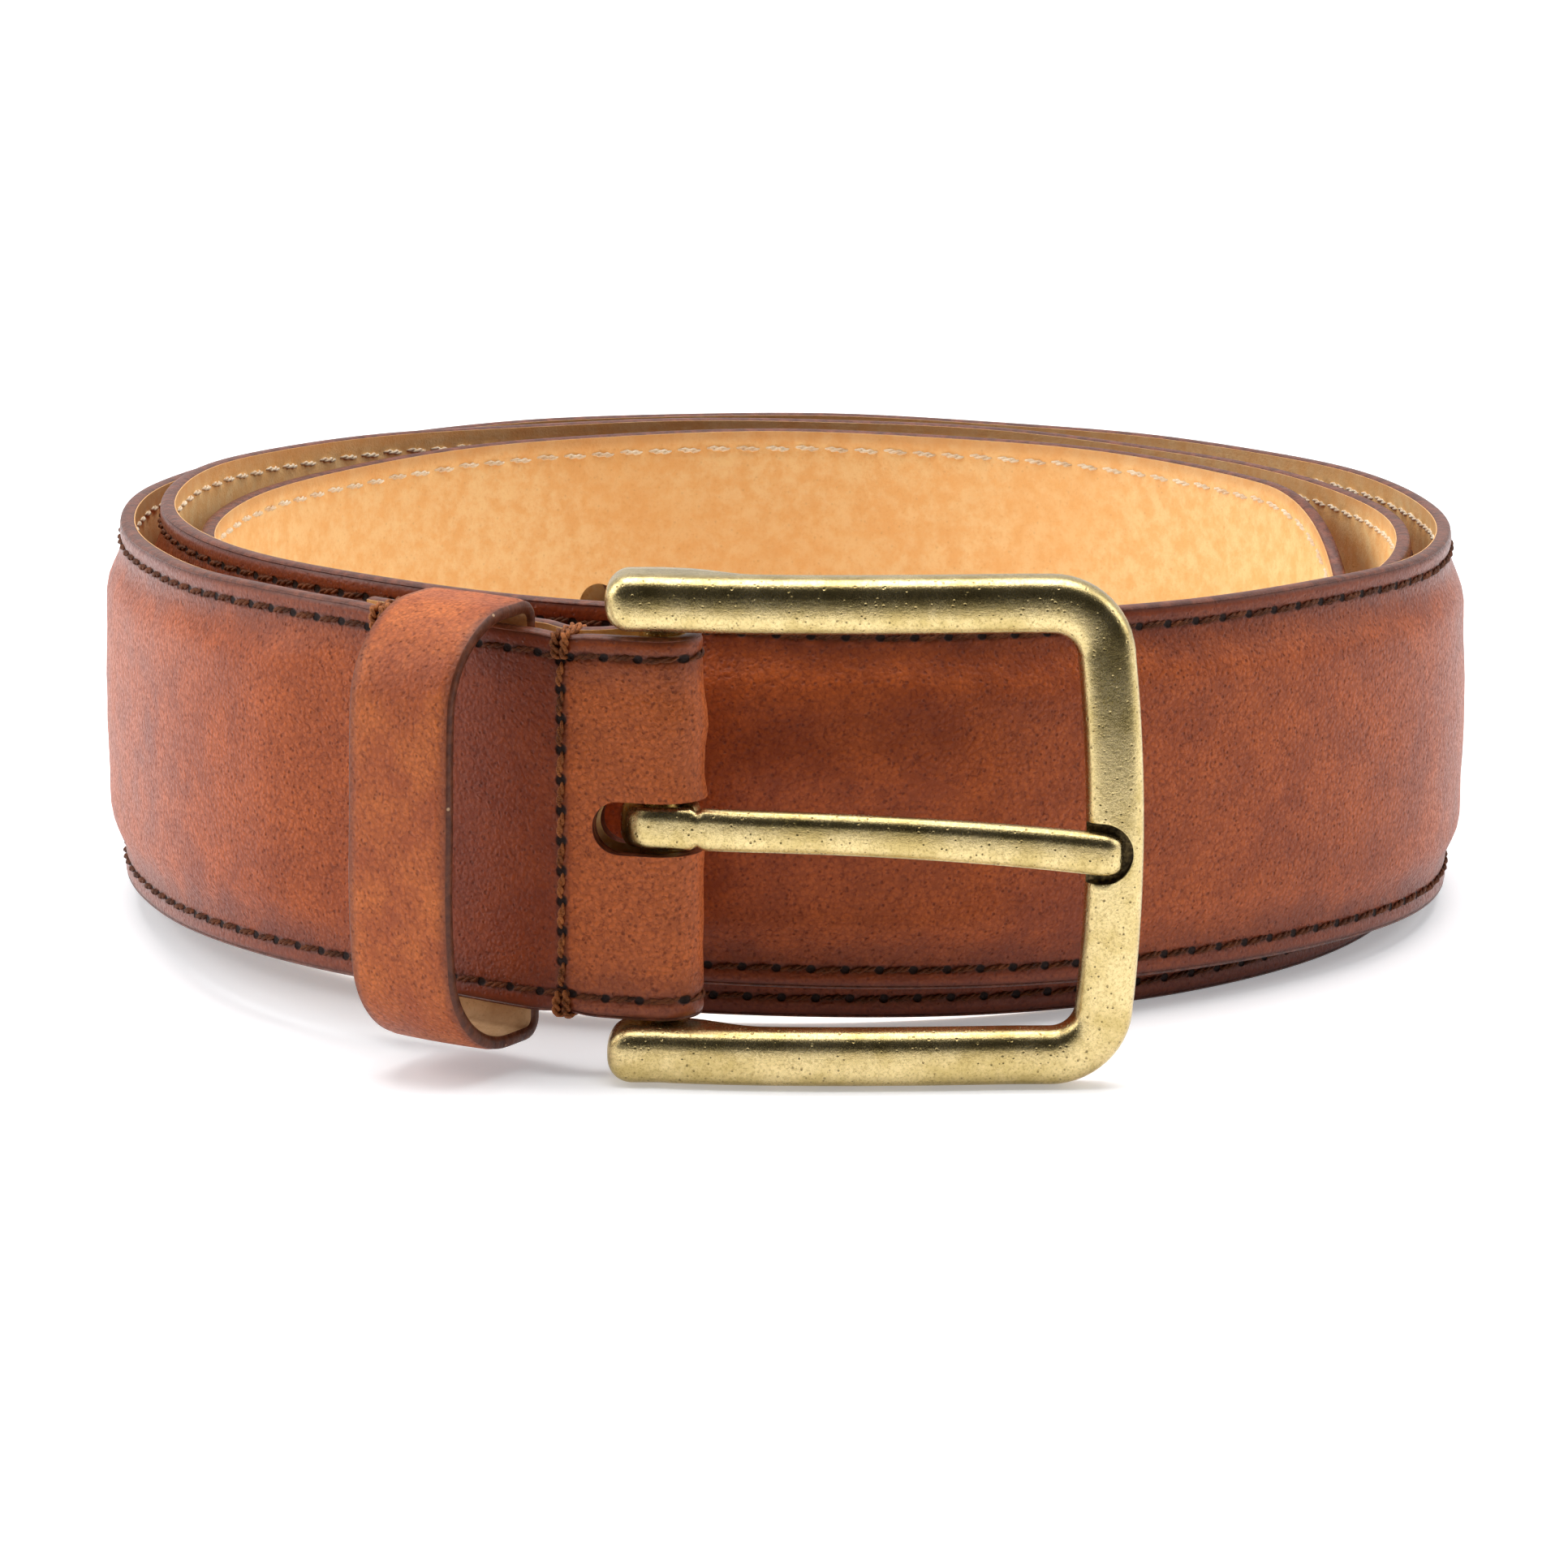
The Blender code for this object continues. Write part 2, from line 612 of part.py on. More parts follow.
def prong(material):
    """A flat tongue curled round the heel bar, lying over the front of the frame."""
    middle = PRONG_CURL_INSIDE + PRONG_CURL_THICKNESS / 2
    route = []
    for degrees in range(390, 269, -20):
        turn = math.radians(degrees)
        route.append((middle * math.cos(turn), middle * math.sin(turn), degrees))
    for degrees in range(255, 89, -15):
        turn = math.radians(degrees)
        route.append((middle * math.cos(turn), middle * math.sin(turn), degrees))
    curl = [(x, -y, -degrees) for x, y, degrees in route if degrees <= 390]
    points = []
    for x, y, degrees in curl:
        outward = Vector((math.cos(math.radians(degrees)), math.sin(math.radians(degrees)), 0))
        points += prong_ring(Vector((x, y, prong_height(0))), outward, PRONG_CURL_THICKNESS,
                             PRONG_WIDTH)
    for x, thickness, width in ((5.0, 1.9, 1.0), (9.0, 2.2, 1.0), (16.0, 2.2, 0.97),
                                (24.0, 2.2, 0.96), (32.0, 2.2, 0.98), (37.0, 2.2, 1.0),
                                (40.4, 2.1, 1.0), (PRONG_LENGTH, 1.5, 0.75)):
        inner_face = -PRONG_CURL_INSIDE - PRONG_RISE * x / PRONG_LENGTH
        place = Vector((x, inner_face - thickness / 2, prong_height(x)))
        points += prong_ring(place, Vector((0, -1, 0)), thickness, PRONG_WIDTH * width)
    rings = len(points) // 8
    return add_object("prong", points, swept_ring_faces(rings, 8), material)


def prong_ring(place, outward, thickness, width):
    """An oblong with its corners bevelled, more on the outer face."""
    up = Vector((0, 0, 1))
    ring = []
    for depth, height in ((-0.5, -0.42), (-0.4, -0.5), (0.12, -0.5), (0.5, -0.3),
                          (0.5, 0.3), (0.12, 0.5), (-0.4, 0.5), (-0.5, 0.42)):
        ring.append(place + outward * depth * thickness + up * height * width)
    return ring


# ---- assembly

def hang_on_bar(thing, pivot):
    thing.parent = pivot


def main():
    clear_scene()
    tan_leather = make_material("face_leather", (0.36, 0.11, 0.045), 0.42)
    natural = make_material("lining_leather", (0.78, 0.44, 0.17), 0.7)
    board = make_material("padding_board", (0.45, 0.27, 0.13), 0.8)
    dark_thread = make_material("dark_thread", (0.07, 0.025, 0.012), 0.7)
    cream_thread = make_material("cream_thread", (0.7, 0.5, 0.3), 0.7)
    keeper_leather = make_material("keeper_leather", (0.45, 0.16, 0.06), 0.42)
    brass = make_material("antique_brass", (0.52, 0.42, 0.2), 0.32, 1.0)

    face = face_leather(tan_leather)
    core = padding_core(board)
    inside = lining(natural)
    needle_thread(dark_thread)
    bobbin_thread(cream_thread)
    cross_seam_thread("seam_thread_buckle", SEAM_NEAR_BUCKLE, dark_thread)
    cross_seam_thread("seam_thread_keeper", SEAM_NEAR_PADDING, dark_thread)
    keeper_loop(keeper_leather)

    slot = slot_cutter()
    holes = hole_cutters()
    cut(face, [slot] + holes)
    cut(inside, [slot] + holes)
    cut(core, holes)

    pivot = bpy.data.objects.new("heel_bar_axis", None)
    pivot.location = (BAR_PLACE.x * MM, BAR_PLACE.y * MM, BUCKLE_HEIGHT / 2 * MM)
    bpy.context.scene.collection.objects.link(pivot)
    frame = buckle_frame(brass)
    notch = notch_cutter()
    cut(frame, [notch])
    for thing in (frame, notch, heel_bar(brass), prong(brass)):
        hang_on_bar(thing, pivot)


main()
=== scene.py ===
"""A padded leather dress belt, rolled up on its edge, with its brass buckle in front.

The pieces come in the order in which a belt maker puts them together. Sizes are in
millimetres until they become points of a mesh.
"""
import math

import bmesh
import bpy
import numpy as np
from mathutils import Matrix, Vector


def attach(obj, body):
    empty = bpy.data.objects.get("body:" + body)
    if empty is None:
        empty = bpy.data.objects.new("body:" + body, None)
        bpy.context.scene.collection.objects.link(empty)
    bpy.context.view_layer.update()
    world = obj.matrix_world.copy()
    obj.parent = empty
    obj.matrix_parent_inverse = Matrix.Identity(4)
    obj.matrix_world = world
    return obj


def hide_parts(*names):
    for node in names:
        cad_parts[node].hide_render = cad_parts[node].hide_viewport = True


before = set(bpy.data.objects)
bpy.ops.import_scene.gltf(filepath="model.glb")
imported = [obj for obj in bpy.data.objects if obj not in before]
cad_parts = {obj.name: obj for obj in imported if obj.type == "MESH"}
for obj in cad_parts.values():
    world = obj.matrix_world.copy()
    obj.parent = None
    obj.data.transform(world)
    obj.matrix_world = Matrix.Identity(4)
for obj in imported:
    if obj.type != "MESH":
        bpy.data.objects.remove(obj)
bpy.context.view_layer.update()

# ---- How the strap lies
# The strap is one long sheet, folded round the heel bar and wound inward almost three
# times. A place on it is given along the sheet from the bar (negative round the fold and
# on the turned back end), in from the nearer edge, and out from the back of the lining.
STRAP_WIDTH = 35.0
HALF = STRAP_WIDTH / 2
STRAP_LENGTH = 1021.0
TIP_TAPER = 26.0
TIP_START = STRAP_LENGTH - TIP_TAPER
FOLD_RADIUS = 2.3
FOLD_BULGE = 0.5
FOLD_BULGES_AT = (18.6, 27.0)
TURN_BACK = 31.0
SHEET_START = -(TURN_BACK + math.pi * FOLD_RADIUS)
SEAM_BY_BUCKLE = 8.2
SEAM_BY_PADDING = 27.6
SEAM_GAP = 0.8
KEEPER_POCKET = 2.1
KEEPER_CENTRE = 17.7
KEEPER_WIDTH = 11.0
STITCH_INSET = 1.8
ROLL_AXIS = (-0.225, 6.69)
# angle round from the front going left, distance from the roll's axis, lift off the floor
ROLL = (
    (8.9, 74.7, 5.7), (15, 74.0, 5.7), (22, 72.2, 5.8), (30, 70.8, 5.9), (38, 69.8, 5.8),
    (46, 68.5, 5.5), (56, 66.3, 4.7), (68, 64.1, 3.6), (82, 63.5, 2.8), (100, 63.6, 2.2),
    (135, 64.4, 0.8), (180, 64.1, 0.0), (225, 64.3, 0.2), (255, 64.3, 0.9), (275, 63.8, 1.6),
    (290, 63.3, 2.3), (305, 61.5, 2.9), (320, 59.5, 3.3), (340, 58.2, 3.9), (360, 57.5, 4.6),
    (380, 57.5, 5.0), (400, 58.1, 5.0), (420, 58.8, 4.8), (440, 59.4, 4.2), (460, 59.8, 3.6),
    (500, 60.2, 1.5), (540, 59.9, 0.2), (580, 59.6, 0.0), (615, 60.2, 0.1), (640, 59.6, 0.1),
    (660, 58.0, 0.0), (680, 55.8, 0.0), (700, 54.4, 0.3), (720, 53.6, 0.8), (740, 53.8, 1.1),
    (765, 54.5, 1.2), (800, 55.6, 0.8), (840, 55.7, 0.4), (880, 55.1, 0.0), (920, 55.0, 0.0),
    (955, 55.1, 0.0), (1010, 55.0, 0.0),
)


def smooth_curve(knots, values, x):
    """A natural cubic spline through the values, read at every x."""
    step = np.diff(knots)
    slope = np.diff(values) / step
    system = np.eye(len(knots))
    right_side = np.zeros(len(knots))
    for i in range(1, len(knots) - 1):
        system[i, i - 1:i + 2] = step[i - 1], 2 * (step[i - 1] + step[i]), step[i]
        right_side[i] = 6 * (slope[i] - slope[i - 1])
    bend = np.linalg.solve(system, right_side)
    i = np.clip(np.searchsorted(knots, x) - 1, 0, len(step) - 1)
    before = (x - knots[i]) / step[i]
    after = 1 - before
    curve = (after ** 3 - after) * bend[i] + (before ** 3 - before) * bend[i + 1]
    return after * values[i] + before * values[i + 1] + curve * step[i] ** 2 / 6


def ease(x, low, high):
    """0 below low, 1 above high, and a smooth rise between."""
    part = np.clip((x - low) / (high - low), 0, 1)
    return part * part * (3 - 2 * part)


def bell(x, middle, width):
    return np.exp(-((x - middle) / width) ** 2)


angles, radii, lifts = (np.array(column, float) for column in zip(*ROLL))
turns = np.arange(angles[0], angles[-1], 0.5)
turn_radius = smooth_curve(angles, radii, turns)
run_x = ROLL_AXIS[0] - turn_radius * np.sin(np.radians(turns))
run_y = ROLL_AXIS[1] - turn_radius * np.cos(np.radians(turns))
run_lift = np.maximum(smooth_curve(angles, lifts, turns), 0)
run = np.concatenate([[0], np.cumsum(np.hypot(np.diff(run_x), np.diff(run_y)))])


def on_run(along):
    """Where the back of the lining is at its lower edge, and the way out from it."""
    along = np.asarray(along, float)
    place = np.stack([np.interp(along, run, c) for c in (run_x, run_y, run_lift)], -1)
    ahead, behind = along + 1, np.maximum(along - 1, 0)
    way = np.stack([np.interp(ahead, run, c) - np.interp(behind, run, c)
                    for c in (run_x, run_y)], -1)
    way /= np.linalg.norm(way, axis=-1, keepdims=True)
    out = np.stack([-way[..., 1], way[..., 0], 0 * along], -1)
    return place, out


def pocket(along):
    """The gap between the strap's lining and the turned back lining."""
    by_bar = 2 * FOLD_RADIUS + ease(along, 0, SEAM_BY_BUCKLE) * (SEAM_GAP - 2 * FOLD_RADIUS)
    opened = np.minimum(ease(along, SEAM_BY_BUCKLE, KEEPER_CENTRE - KEEPER_WIDTH / 2),
                        1 - ease(along, KEEPER_CENTRE + KEEPER_WIDTH / 2, SEAM_BY_PADDING))
    by_keeper = SEAM_GAP + (KEEPER_POCKET - SEAM_GAP) * opened
    return np.where(along < SEAM_BY_BUCKLE, by_bar, by_keeper)


first_place, first_out = on_run(0.0)
bar_place = first_place - first_out * FOLD_RADIUS


def on_sheet(along):
    """The same for the whole sheet: strap, fold and turned back end."""
    along = np.asarray(along, float)
    place, out = on_run(np.maximum(along, 0))
    turned = np.clip(-along / FOLD_RADIUS, 0, math.pi)
    fold_out = np.stack([first_out[0] * np.cos(turned) - first_out[1] * np.sin(turned),
                         first_out[0] * np.sin(turned) + first_out[1] * np.cos(turned),
                         0 * turned], -1)
    fold_place = bar_place + fold_out * FOLD_RADIUS
    back = -along - math.pi * FOLD_RADIUS
    back_place, back_out = on_run(np.maximum(back, 0))
    back_place = back_place - back_out * pocket(back)[..., None]
    folded = (along < 0)[..., None]
    beyond = (back > 0)[..., None]
    place = np.where(folded, np.where(beyond, back_place, fold_place), place)
    out = np.where(folded, np.where(beyond, -back_out, fold_out), out)
    return place, out


# round the tip, a place is given along the stitch line and turned into an angle
tip_angle = np.linspace(0, math.pi / 2, 400)
tip_line = np.stack([(TIP_TAPER - STITCH_INSET) * np.sin(tip_angle),
                     (HALF - STITCH_INSET) * np.cos(tip_angle)], -1)
tip_run = np.concatenate([[0], np.cumsum(np.linalg.norm(np.diff(tip_line, axis=0), axis=1))])
SHEET_END = TIP_START + tip_run[-1]


def laid(along, side, inset, out):
    """Points on the strap: side is -1 on its lower half and 1 on its upper half."""
    along, side, inset, out = np.broadcast_arrays(
        *(np.asarray(part, float) for part in (along, side, inset, out)))
    angle = np.interp(along - TIP_START, tip_run, tip_angle)
    reach = np.where(along > TIP_START,
                     TIP_START + (TIP_TAPER - inset) * np.sin(angle), along)
    up = side * (HALF - inset) * np.cos(angle) + HALF
    place, way_out = on_sheet(reach)
    uneven = 0.11 * np.sin(reach / 13) + 0.06 * np.sin(reach / 5.3 + 1)
    uneven = uneven * ease(reach, 30, 60) * up / STRAP_WIDTH
    pinch = 0.28 * (bell(reach, SEAM_BY_BUCKLE, 1.7) + bell(reach, SEAM_BY_PADDING, 1.7))
    pinch = pinch * ease(np.abs(up - HALF), 10, HALF) * np.sign(up - HALF)
    points = place + way_out * out[..., None]
    points[..., 2] += up + uneven - pinch
    beside_slot = sum(bell(up, height, 2.6) for height in FOLD_BULGES_AT)
    bulge = FOLD_BULGE * beside_slot * bell(along, -math.pi / 2 * FOLD_RADIUS, 3.2)
    past_fold = np.array([-first_out[1], first_out[0], 0])
    return points + bulge[..., None] * past_fold


# ---- The lining
# Undyed veg-tanned leather, pasted to the back of the face leather over its whole
# length. It is the smooth, mottled inside of the roll.
LINING = 0.70
STATIONS = np.concatenate([
    np.arange(SHEET_START, -math.pi * FOLD_RADIUS - 0.3, 0.8),
    np.arange(-math.pi * FOLD_RADIUS, 0.2, 0.38),
    np.arange(0.6, 46, 0.8),
    np.linspace(46.6, TIP_START, 730),
    TIP_START + np.interp(np.radians(np.arange(3, 91, 3)), tip_angle, tip_run)])
MM = 0.001


def new_piece(name, points, faces, materials, sharp=40, picks=None):
    """A mesh object of a closed form, from points in millimetres."""
    mesh = bpy.data.meshes.new(name)
    mesh.from_pydata((np.asarray(points) * MM).tolist(), [], faces)
    for material in materials:
        mesh.materials.append(material)
    if picks is not None:
        mesh.polygons.foreach_set("material_index", picks)
    mesh.shade_smooth()
    mesh.set_sharp_from_angle(angle=math.radians(sharp))
    piece = bpy.data.objects.new(name, mesh)
    bpy.context.scene.collection.objects.link(piece)
    return piece


def tidied(piece, merge=0.0):
    """Merges points that meet and turns every face outward."""
    work = bmesh.new()
    work.from_mesh(piece.data)
    if merge:
        bmesh.ops.remove_doubles(work, verts=work.verts, dist=merge * MM)
    bmesh.ops.recalc_face_normals(work, faces=work.faces)
    work.to_mesh(piece.data)
    work.free()
    return piece


def quads(rows, columns, wrap_rows=False, wrap_columns=False, first=0):
    """Faces of a grid of points that are numbered row by row."""
    r = np.arange(rows if wrap_rows else rows - 1)
    c = np.arange(columns if wrap_columns else columns - 1)
    r, c = np.meshgrid(r, c, indexing="ij")
    r2, c2 = (r + 1) % rows, (c + 1) % columns
    grid = np.stack([r * columns + c, r * columns + c2, r2 * columns + c2, r2 * columns + c], -1)
    return (grid.reshape(-1, 4) + first).tolist()


def strip(name, stations, insets, low, high, materials):
    """A sheet between two surfaces, both halves of it, closed round the tip."""
    inset = np.array(list(insets) + list(insets[-2::-1]))
    side = np.array([-1.0] * len(insets) + [1.0] * (len(insets) - 1))
    along = np.broadcast_to(np.asarray(stations)[:, None], (len(stations), len(inset)))
    under = laid(along, side, inset, low(along, inset))
    over = laid(along, side, inset, high(along, inset))
    ring = np.concatenate([over, under[:, ::-1]], 1)
    rows, columns = ring.shape[:2]
    faces = quads(rows, columns, wrap_columns=True)
    lines = len(inset)
    for c in range(lines - 1):
        faces.append([c, c + 1, columns - 2 - c, columns - 1 - c])
    piece = new_piece(name, ring.reshape(-1, 3), faces, materials)
    across = np.where(side < 0, inset, STRAP_WIDTH - inset)
    flat = np.stack([np.broadcast_to(along[:, :1], (rows, columns)),
                     np.broadcast_to(np.concatenate([across, across[::-1]]), (rows, columns))], -1)
    layout = piece.data.uv_layers.new(name="strap")
    corners = np.zeros(len(piece.data.loops), int)
    piece.data.loops.foreach_get("vertex_index", corners)
    layout.uv.foreach_set("vector", flat.reshape(-1, 2)[corners].astype(np.float32).ravel())
    return tidied(piece, merge=0.002)


class Wire:
    """One output in a material. Sums on it add the Math nodes that they need."""

    def __init__(self, finish, socket):
        self.finish = finish
        self.socket = socket

    def math(self, operation, *parts):
        return self.finish.node("Math", {"operation": operation}, dict(enumerate(parts)))

    def __add__(self, other):
        return self.math("ADD", self, other)

    def __sub__(self, other):
        return self.math("SUBTRACT", self, other)

    def __rsub__(self, other):
        return self.math("SUBTRACT", other, self)

    def __mul__(self, other):
        return self.math("MULTIPLY", self, other)

    __radd__ = __add__
    __rmul__ = __mul__

    def size(self):
        return self.math("ABSOLUTE", self)

    def least(self, other):
        return self.math("MINIMUM", self, other)

    def most(self, other):
        return self.math("MAXIMUM", self, other)

    def repeated(self, pitch):
        """How far the value is from the nearest multiple of the pitch."""
        return self.math("WRAP", self, pitch / 2, -pitch / 2)

    def rise(self, low, high):
        """0 to 1 as the value goes from low to high, smoothly."""
        return self.finish.node("MapRange", {"interpolation_type": "SMOOTHSTEP"},
                                {"Value": self, "From Min": low, "From Max": high})


class Finish:
    """A material on its way: its nodes, and the shader that they feed."""

    def __init__(self, name, **set_once):
        self.begin(bpy.data.materials.new(name), "Principled BSDF", set_once)

    def begin(self, material, shader, set_once):
        self.material = material
        self.material.use_nodes = True
        self.nodes = self.material.node_tree.nodes
        self.links = self.material.node_tree.links
        self.shader = self.nodes[shader]
        for socket, value in set_once.items():
            self.shader.inputs[socket.replace("_", " ")].default_value = value

    def feed(self, socket, value):
        if isinstance(value, Wire):
            self.links.new(value.socket, socket)
        else:
            socket.default_value = value

    def node(self, kind, settings=None, sockets=None, out=0):
        made = self.nodes.new("ShaderNode" + kind)
        for key, value in (settings or {}).items():
            setattr(made, key, value)
        for key, value in (sockets or {}).items():
            self.feed(made.inputs[key], value)
        return Wire(self, made.outputs[out])

    def place(self):
        """Where a point is on the piece, in millimetres."""
        here = self.node("TexCoord", out=3)
        return self.stretched(here, 1 / MM)

    def stretched(self, vector, by):
        by = by if isinstance(by, tuple) else (by,) * 3
        return self.node("VectorMath", {"operation": "MULTIPLY"}, {0: vector, 1: by})

    def strap_place(self):
        """Distance along the strap, and across it from its lower edge."""
        flat = self.node("UVMap", {"uv_map": "strap"})
        return [self.node("SeparateXYZ", sockets={0: flat}, out=i) for i in (0, 1)]

    def noise(self, at, scale, detail=2.0, roughness=0.55, warp=0.0):
        return self.node("TexNoise", sockets={"Vector": at, "Scale": scale, "Detail": detail,
                                              "Roughness": roughness, "Distortion": warp})

    def cells(self, at, scale, randomness=1.0):
        return self.node("TexVoronoi", sockets={"Vector": at, "Scale": scale,
                                                "Randomness": randomness})

    def mixed(self, share, first, second):
        first, second = ((*c, 1.0) if isinstance(c, tuple) else c for c in (first, second))
        return self.node("Mix", {"data_type": "RGBA"}, {0: share, 6: first, 7: second}, out=2)

    def bumped(self, height, depth, under=None):
        sockets = {"Height": height, "Distance": depth * MM, "Strength": 1.0}
        if under is not None:
            sockets["Normal"] = under
        return self.node("Bump", sockets=sockets)

    def done(self, **fed):
        for socket, value in fed.items():
            self.feed(self.shader.inputs[socket.replace("_", " ")], value)
        return self.material


def lining_finish():
    made = Finish("undyed_lining", IOR=1.45, Specular_IOR_Level=0.35)
    at = made.place()
    broad = made.noise(at, 0.06, 3.0)
    blotch = made.noise(at, 0.55, 4.0, 0.65)
    fibre = made.noise(at, 3.2, 3.0, 0.7)
    specks = 1 - made.cells(at, 0.9).rise(0.05, 0.16)
    colour = made.mixed(blotch.rise(0.32, 0.68), (0.93, 0.53, 0.200), (0.99, 0.69, 0.330))
    colour = made.mixed(broad.rise(0.35, 0.7) * 0.4, colour, (0.92, 0.50, 0.17))
    colour = made.mixed(fibre.rise(0.5, 0.75) * 0.3, colour, (0.74, 0.35, 0.10))
    colour = made.mixed(specks * 0.2, colour, (0.50, 0.22, 0.07))
    along, across = made.strap_place()
    near_edge = 1 - across.least(STRAP_WIDTH - across).rise(0.2, 1.6)
    colour = made.mixed(near_edge * 0.4, colour, (0.42, 0.17, 0.06))
    height = fibre * 0.6 + blotch * 0.4
    return made.done(Base_Color=colour, Roughness=blotch * 0.25 + 0.5,
                     Normal=made.bumped(height, 0.10))


LINING_INSETS = (0, 0.25, 0.8, 1.5, 1.8, 2.1, 3, 5, 8, 11, 14, HALF)
edge_paint_finish = Finish("painted_edge", Coat_Weight=0.12, Coat_Roughness=0.25,
                           Specular_IOR_Level=0.3)
paint_at = edge_paint_finish.place()
paint_streaks = edge_paint_finish.noise(paint_at, 0.9, 4.0, 0.6)
paint_grit = edge_paint_finish.noise(paint_at, 5.0, 3.0)
edge_paint = edge_paint_finish.done(
    Base_Color=edge_paint_finish.mixed(paint_streaks.rise(0.35, 0.7),
                                       (0.085, 0.020, 0.009), (0.20, 0.055, 0.026)),
    Roughness=paint_grit * 0.25 + 0.28,
    Normal=edge_paint_finish.bumped(paint_grit * 0.5 + paint_streaks, 0.12))


def lining_low(along, inset):
    groove_dip_and_shade = 0.10 * bell(inset, STITCH_INSET, 0.35)
    return groove_dip_and_shade + 0.02 * np.sin(along / 4.1) * ease(inset, 3, 8)


lining = strip("lining_strip", STATIONS, LINING_INSETS, lining_low,
               lambda along, inset: LINING + 0 * along * inset, [lining_finish()])

# ---- The filler
# A strip of pressed leather that pads the middle of the strap. It starts under the
# keeper's outer seam and is hidden between the lining and the face leather.
PADDING_RISE = 1.6
FACE_LEVEL = 1.5


def face_level(along, inset):
    """The strap's outer surface: flat stitched margins and a crowned middle."""
    crown = 0.82 * ease(inset, 2.5, 6.9) + 0.18 * ease(inset, 5.0, HALF)
    near_tip = 1 - 0.22 * ease(along, TIP_START, SHEET_END)
    padded = ease(along, 29, 42) * PADDING_RISE * crown * near_tip
    groove = 0.16 * bell(inset, STITCH_INSET, 0.42)
    worn_corner = 0.22 * (1 - ease(inset, 0, 0.55))
    ripple = 0.035 * np.sin(along / 3.7 + inset) + 0.03 * np.sin(along / 9.1 - inset / 3)
    return FACE_LEVEL + padded - groove - worn_corner + ripple * ease(inset, 2, 6)


filler_finish = Finish("pressed_filler", Roughness=0.85)
filler_grain = filler_finish.noise(filler_finish.place(), 1.2, 4.0, 0.7)
filler_board = filler_finish.done(
    Base_Color=filler_finish.mixed(filler_grain.rise(0.3, 0.7), (0.30, 0.17, 0.08),
                                   (0.52, 0.33, 0.17)),
    Normal=filler_finish.bumped(filler_grain, 0.2))
filler = strip("padding_filler", STATIONS[STATIONS > 36], (4.2, 6, 8, 12, HALF),
               lambda along, inset: LINING + 0.05 + 0 * along * inset,
               lambda along, inset: np.maximum(face_level(along, inset) - 0.85, LINING + 0.1),
               [filler_board])

# ---- The face leather
# Tan calf with a fine pebbled grain, stretched over the filler, pasted to the lining and
# burnished dark towards its edges. Awl holes for the stitching run along both margins.
STITCHES = round((SHEET_END - SHEET_START - 2.2) / 3.1)
STITCH_START = SHEET_START + 2.2
PITCH = (SHEET_END - STITCH_START) / STITCHES
SEAM_PITCH = 2.8
FACE_INSETS = (0, 0.1, 0.25, 0.5, 0.85, 1.2, 1.45, 1.65, 1.8, 1.95, 2.15, 2.4, 2.7, 3.0, 3.4,
               3.9, 4.5, 5.2, 6.0, 7.0, 8.5, 10.5, 13, 15.2, HALF)


def pebbled(made, at):
    """Grain of dyed calf: small rounded pebbles, with pores and short creases."""
    wander = made.noise(at, 0.8, 2.0)
    pebble = made.node("TexVoronoi", {"feature": "SMOOTH_F1"},
                       {"Vector": at, "Scale": 2.3, "Smoothness": 0.35, "Randomness": 1.0})
    crease = made.noise(at, 2.1, 4.0, 0.6, warp=1.2)
    pores = 1 - made.cells(at, 1.35).rise(0.10, 0.26)
    height = (1 - pebble) * 0.55 + crease * 0.75 - pores * 0.55 + wander * 0.3
    dark = (pebble.rise(0.30, 0.62) * 0.45 + pores * 0.75 + (1 - crease.rise(0.36, 0.5)) * 0.55)
    return height, dark.least(1.0)


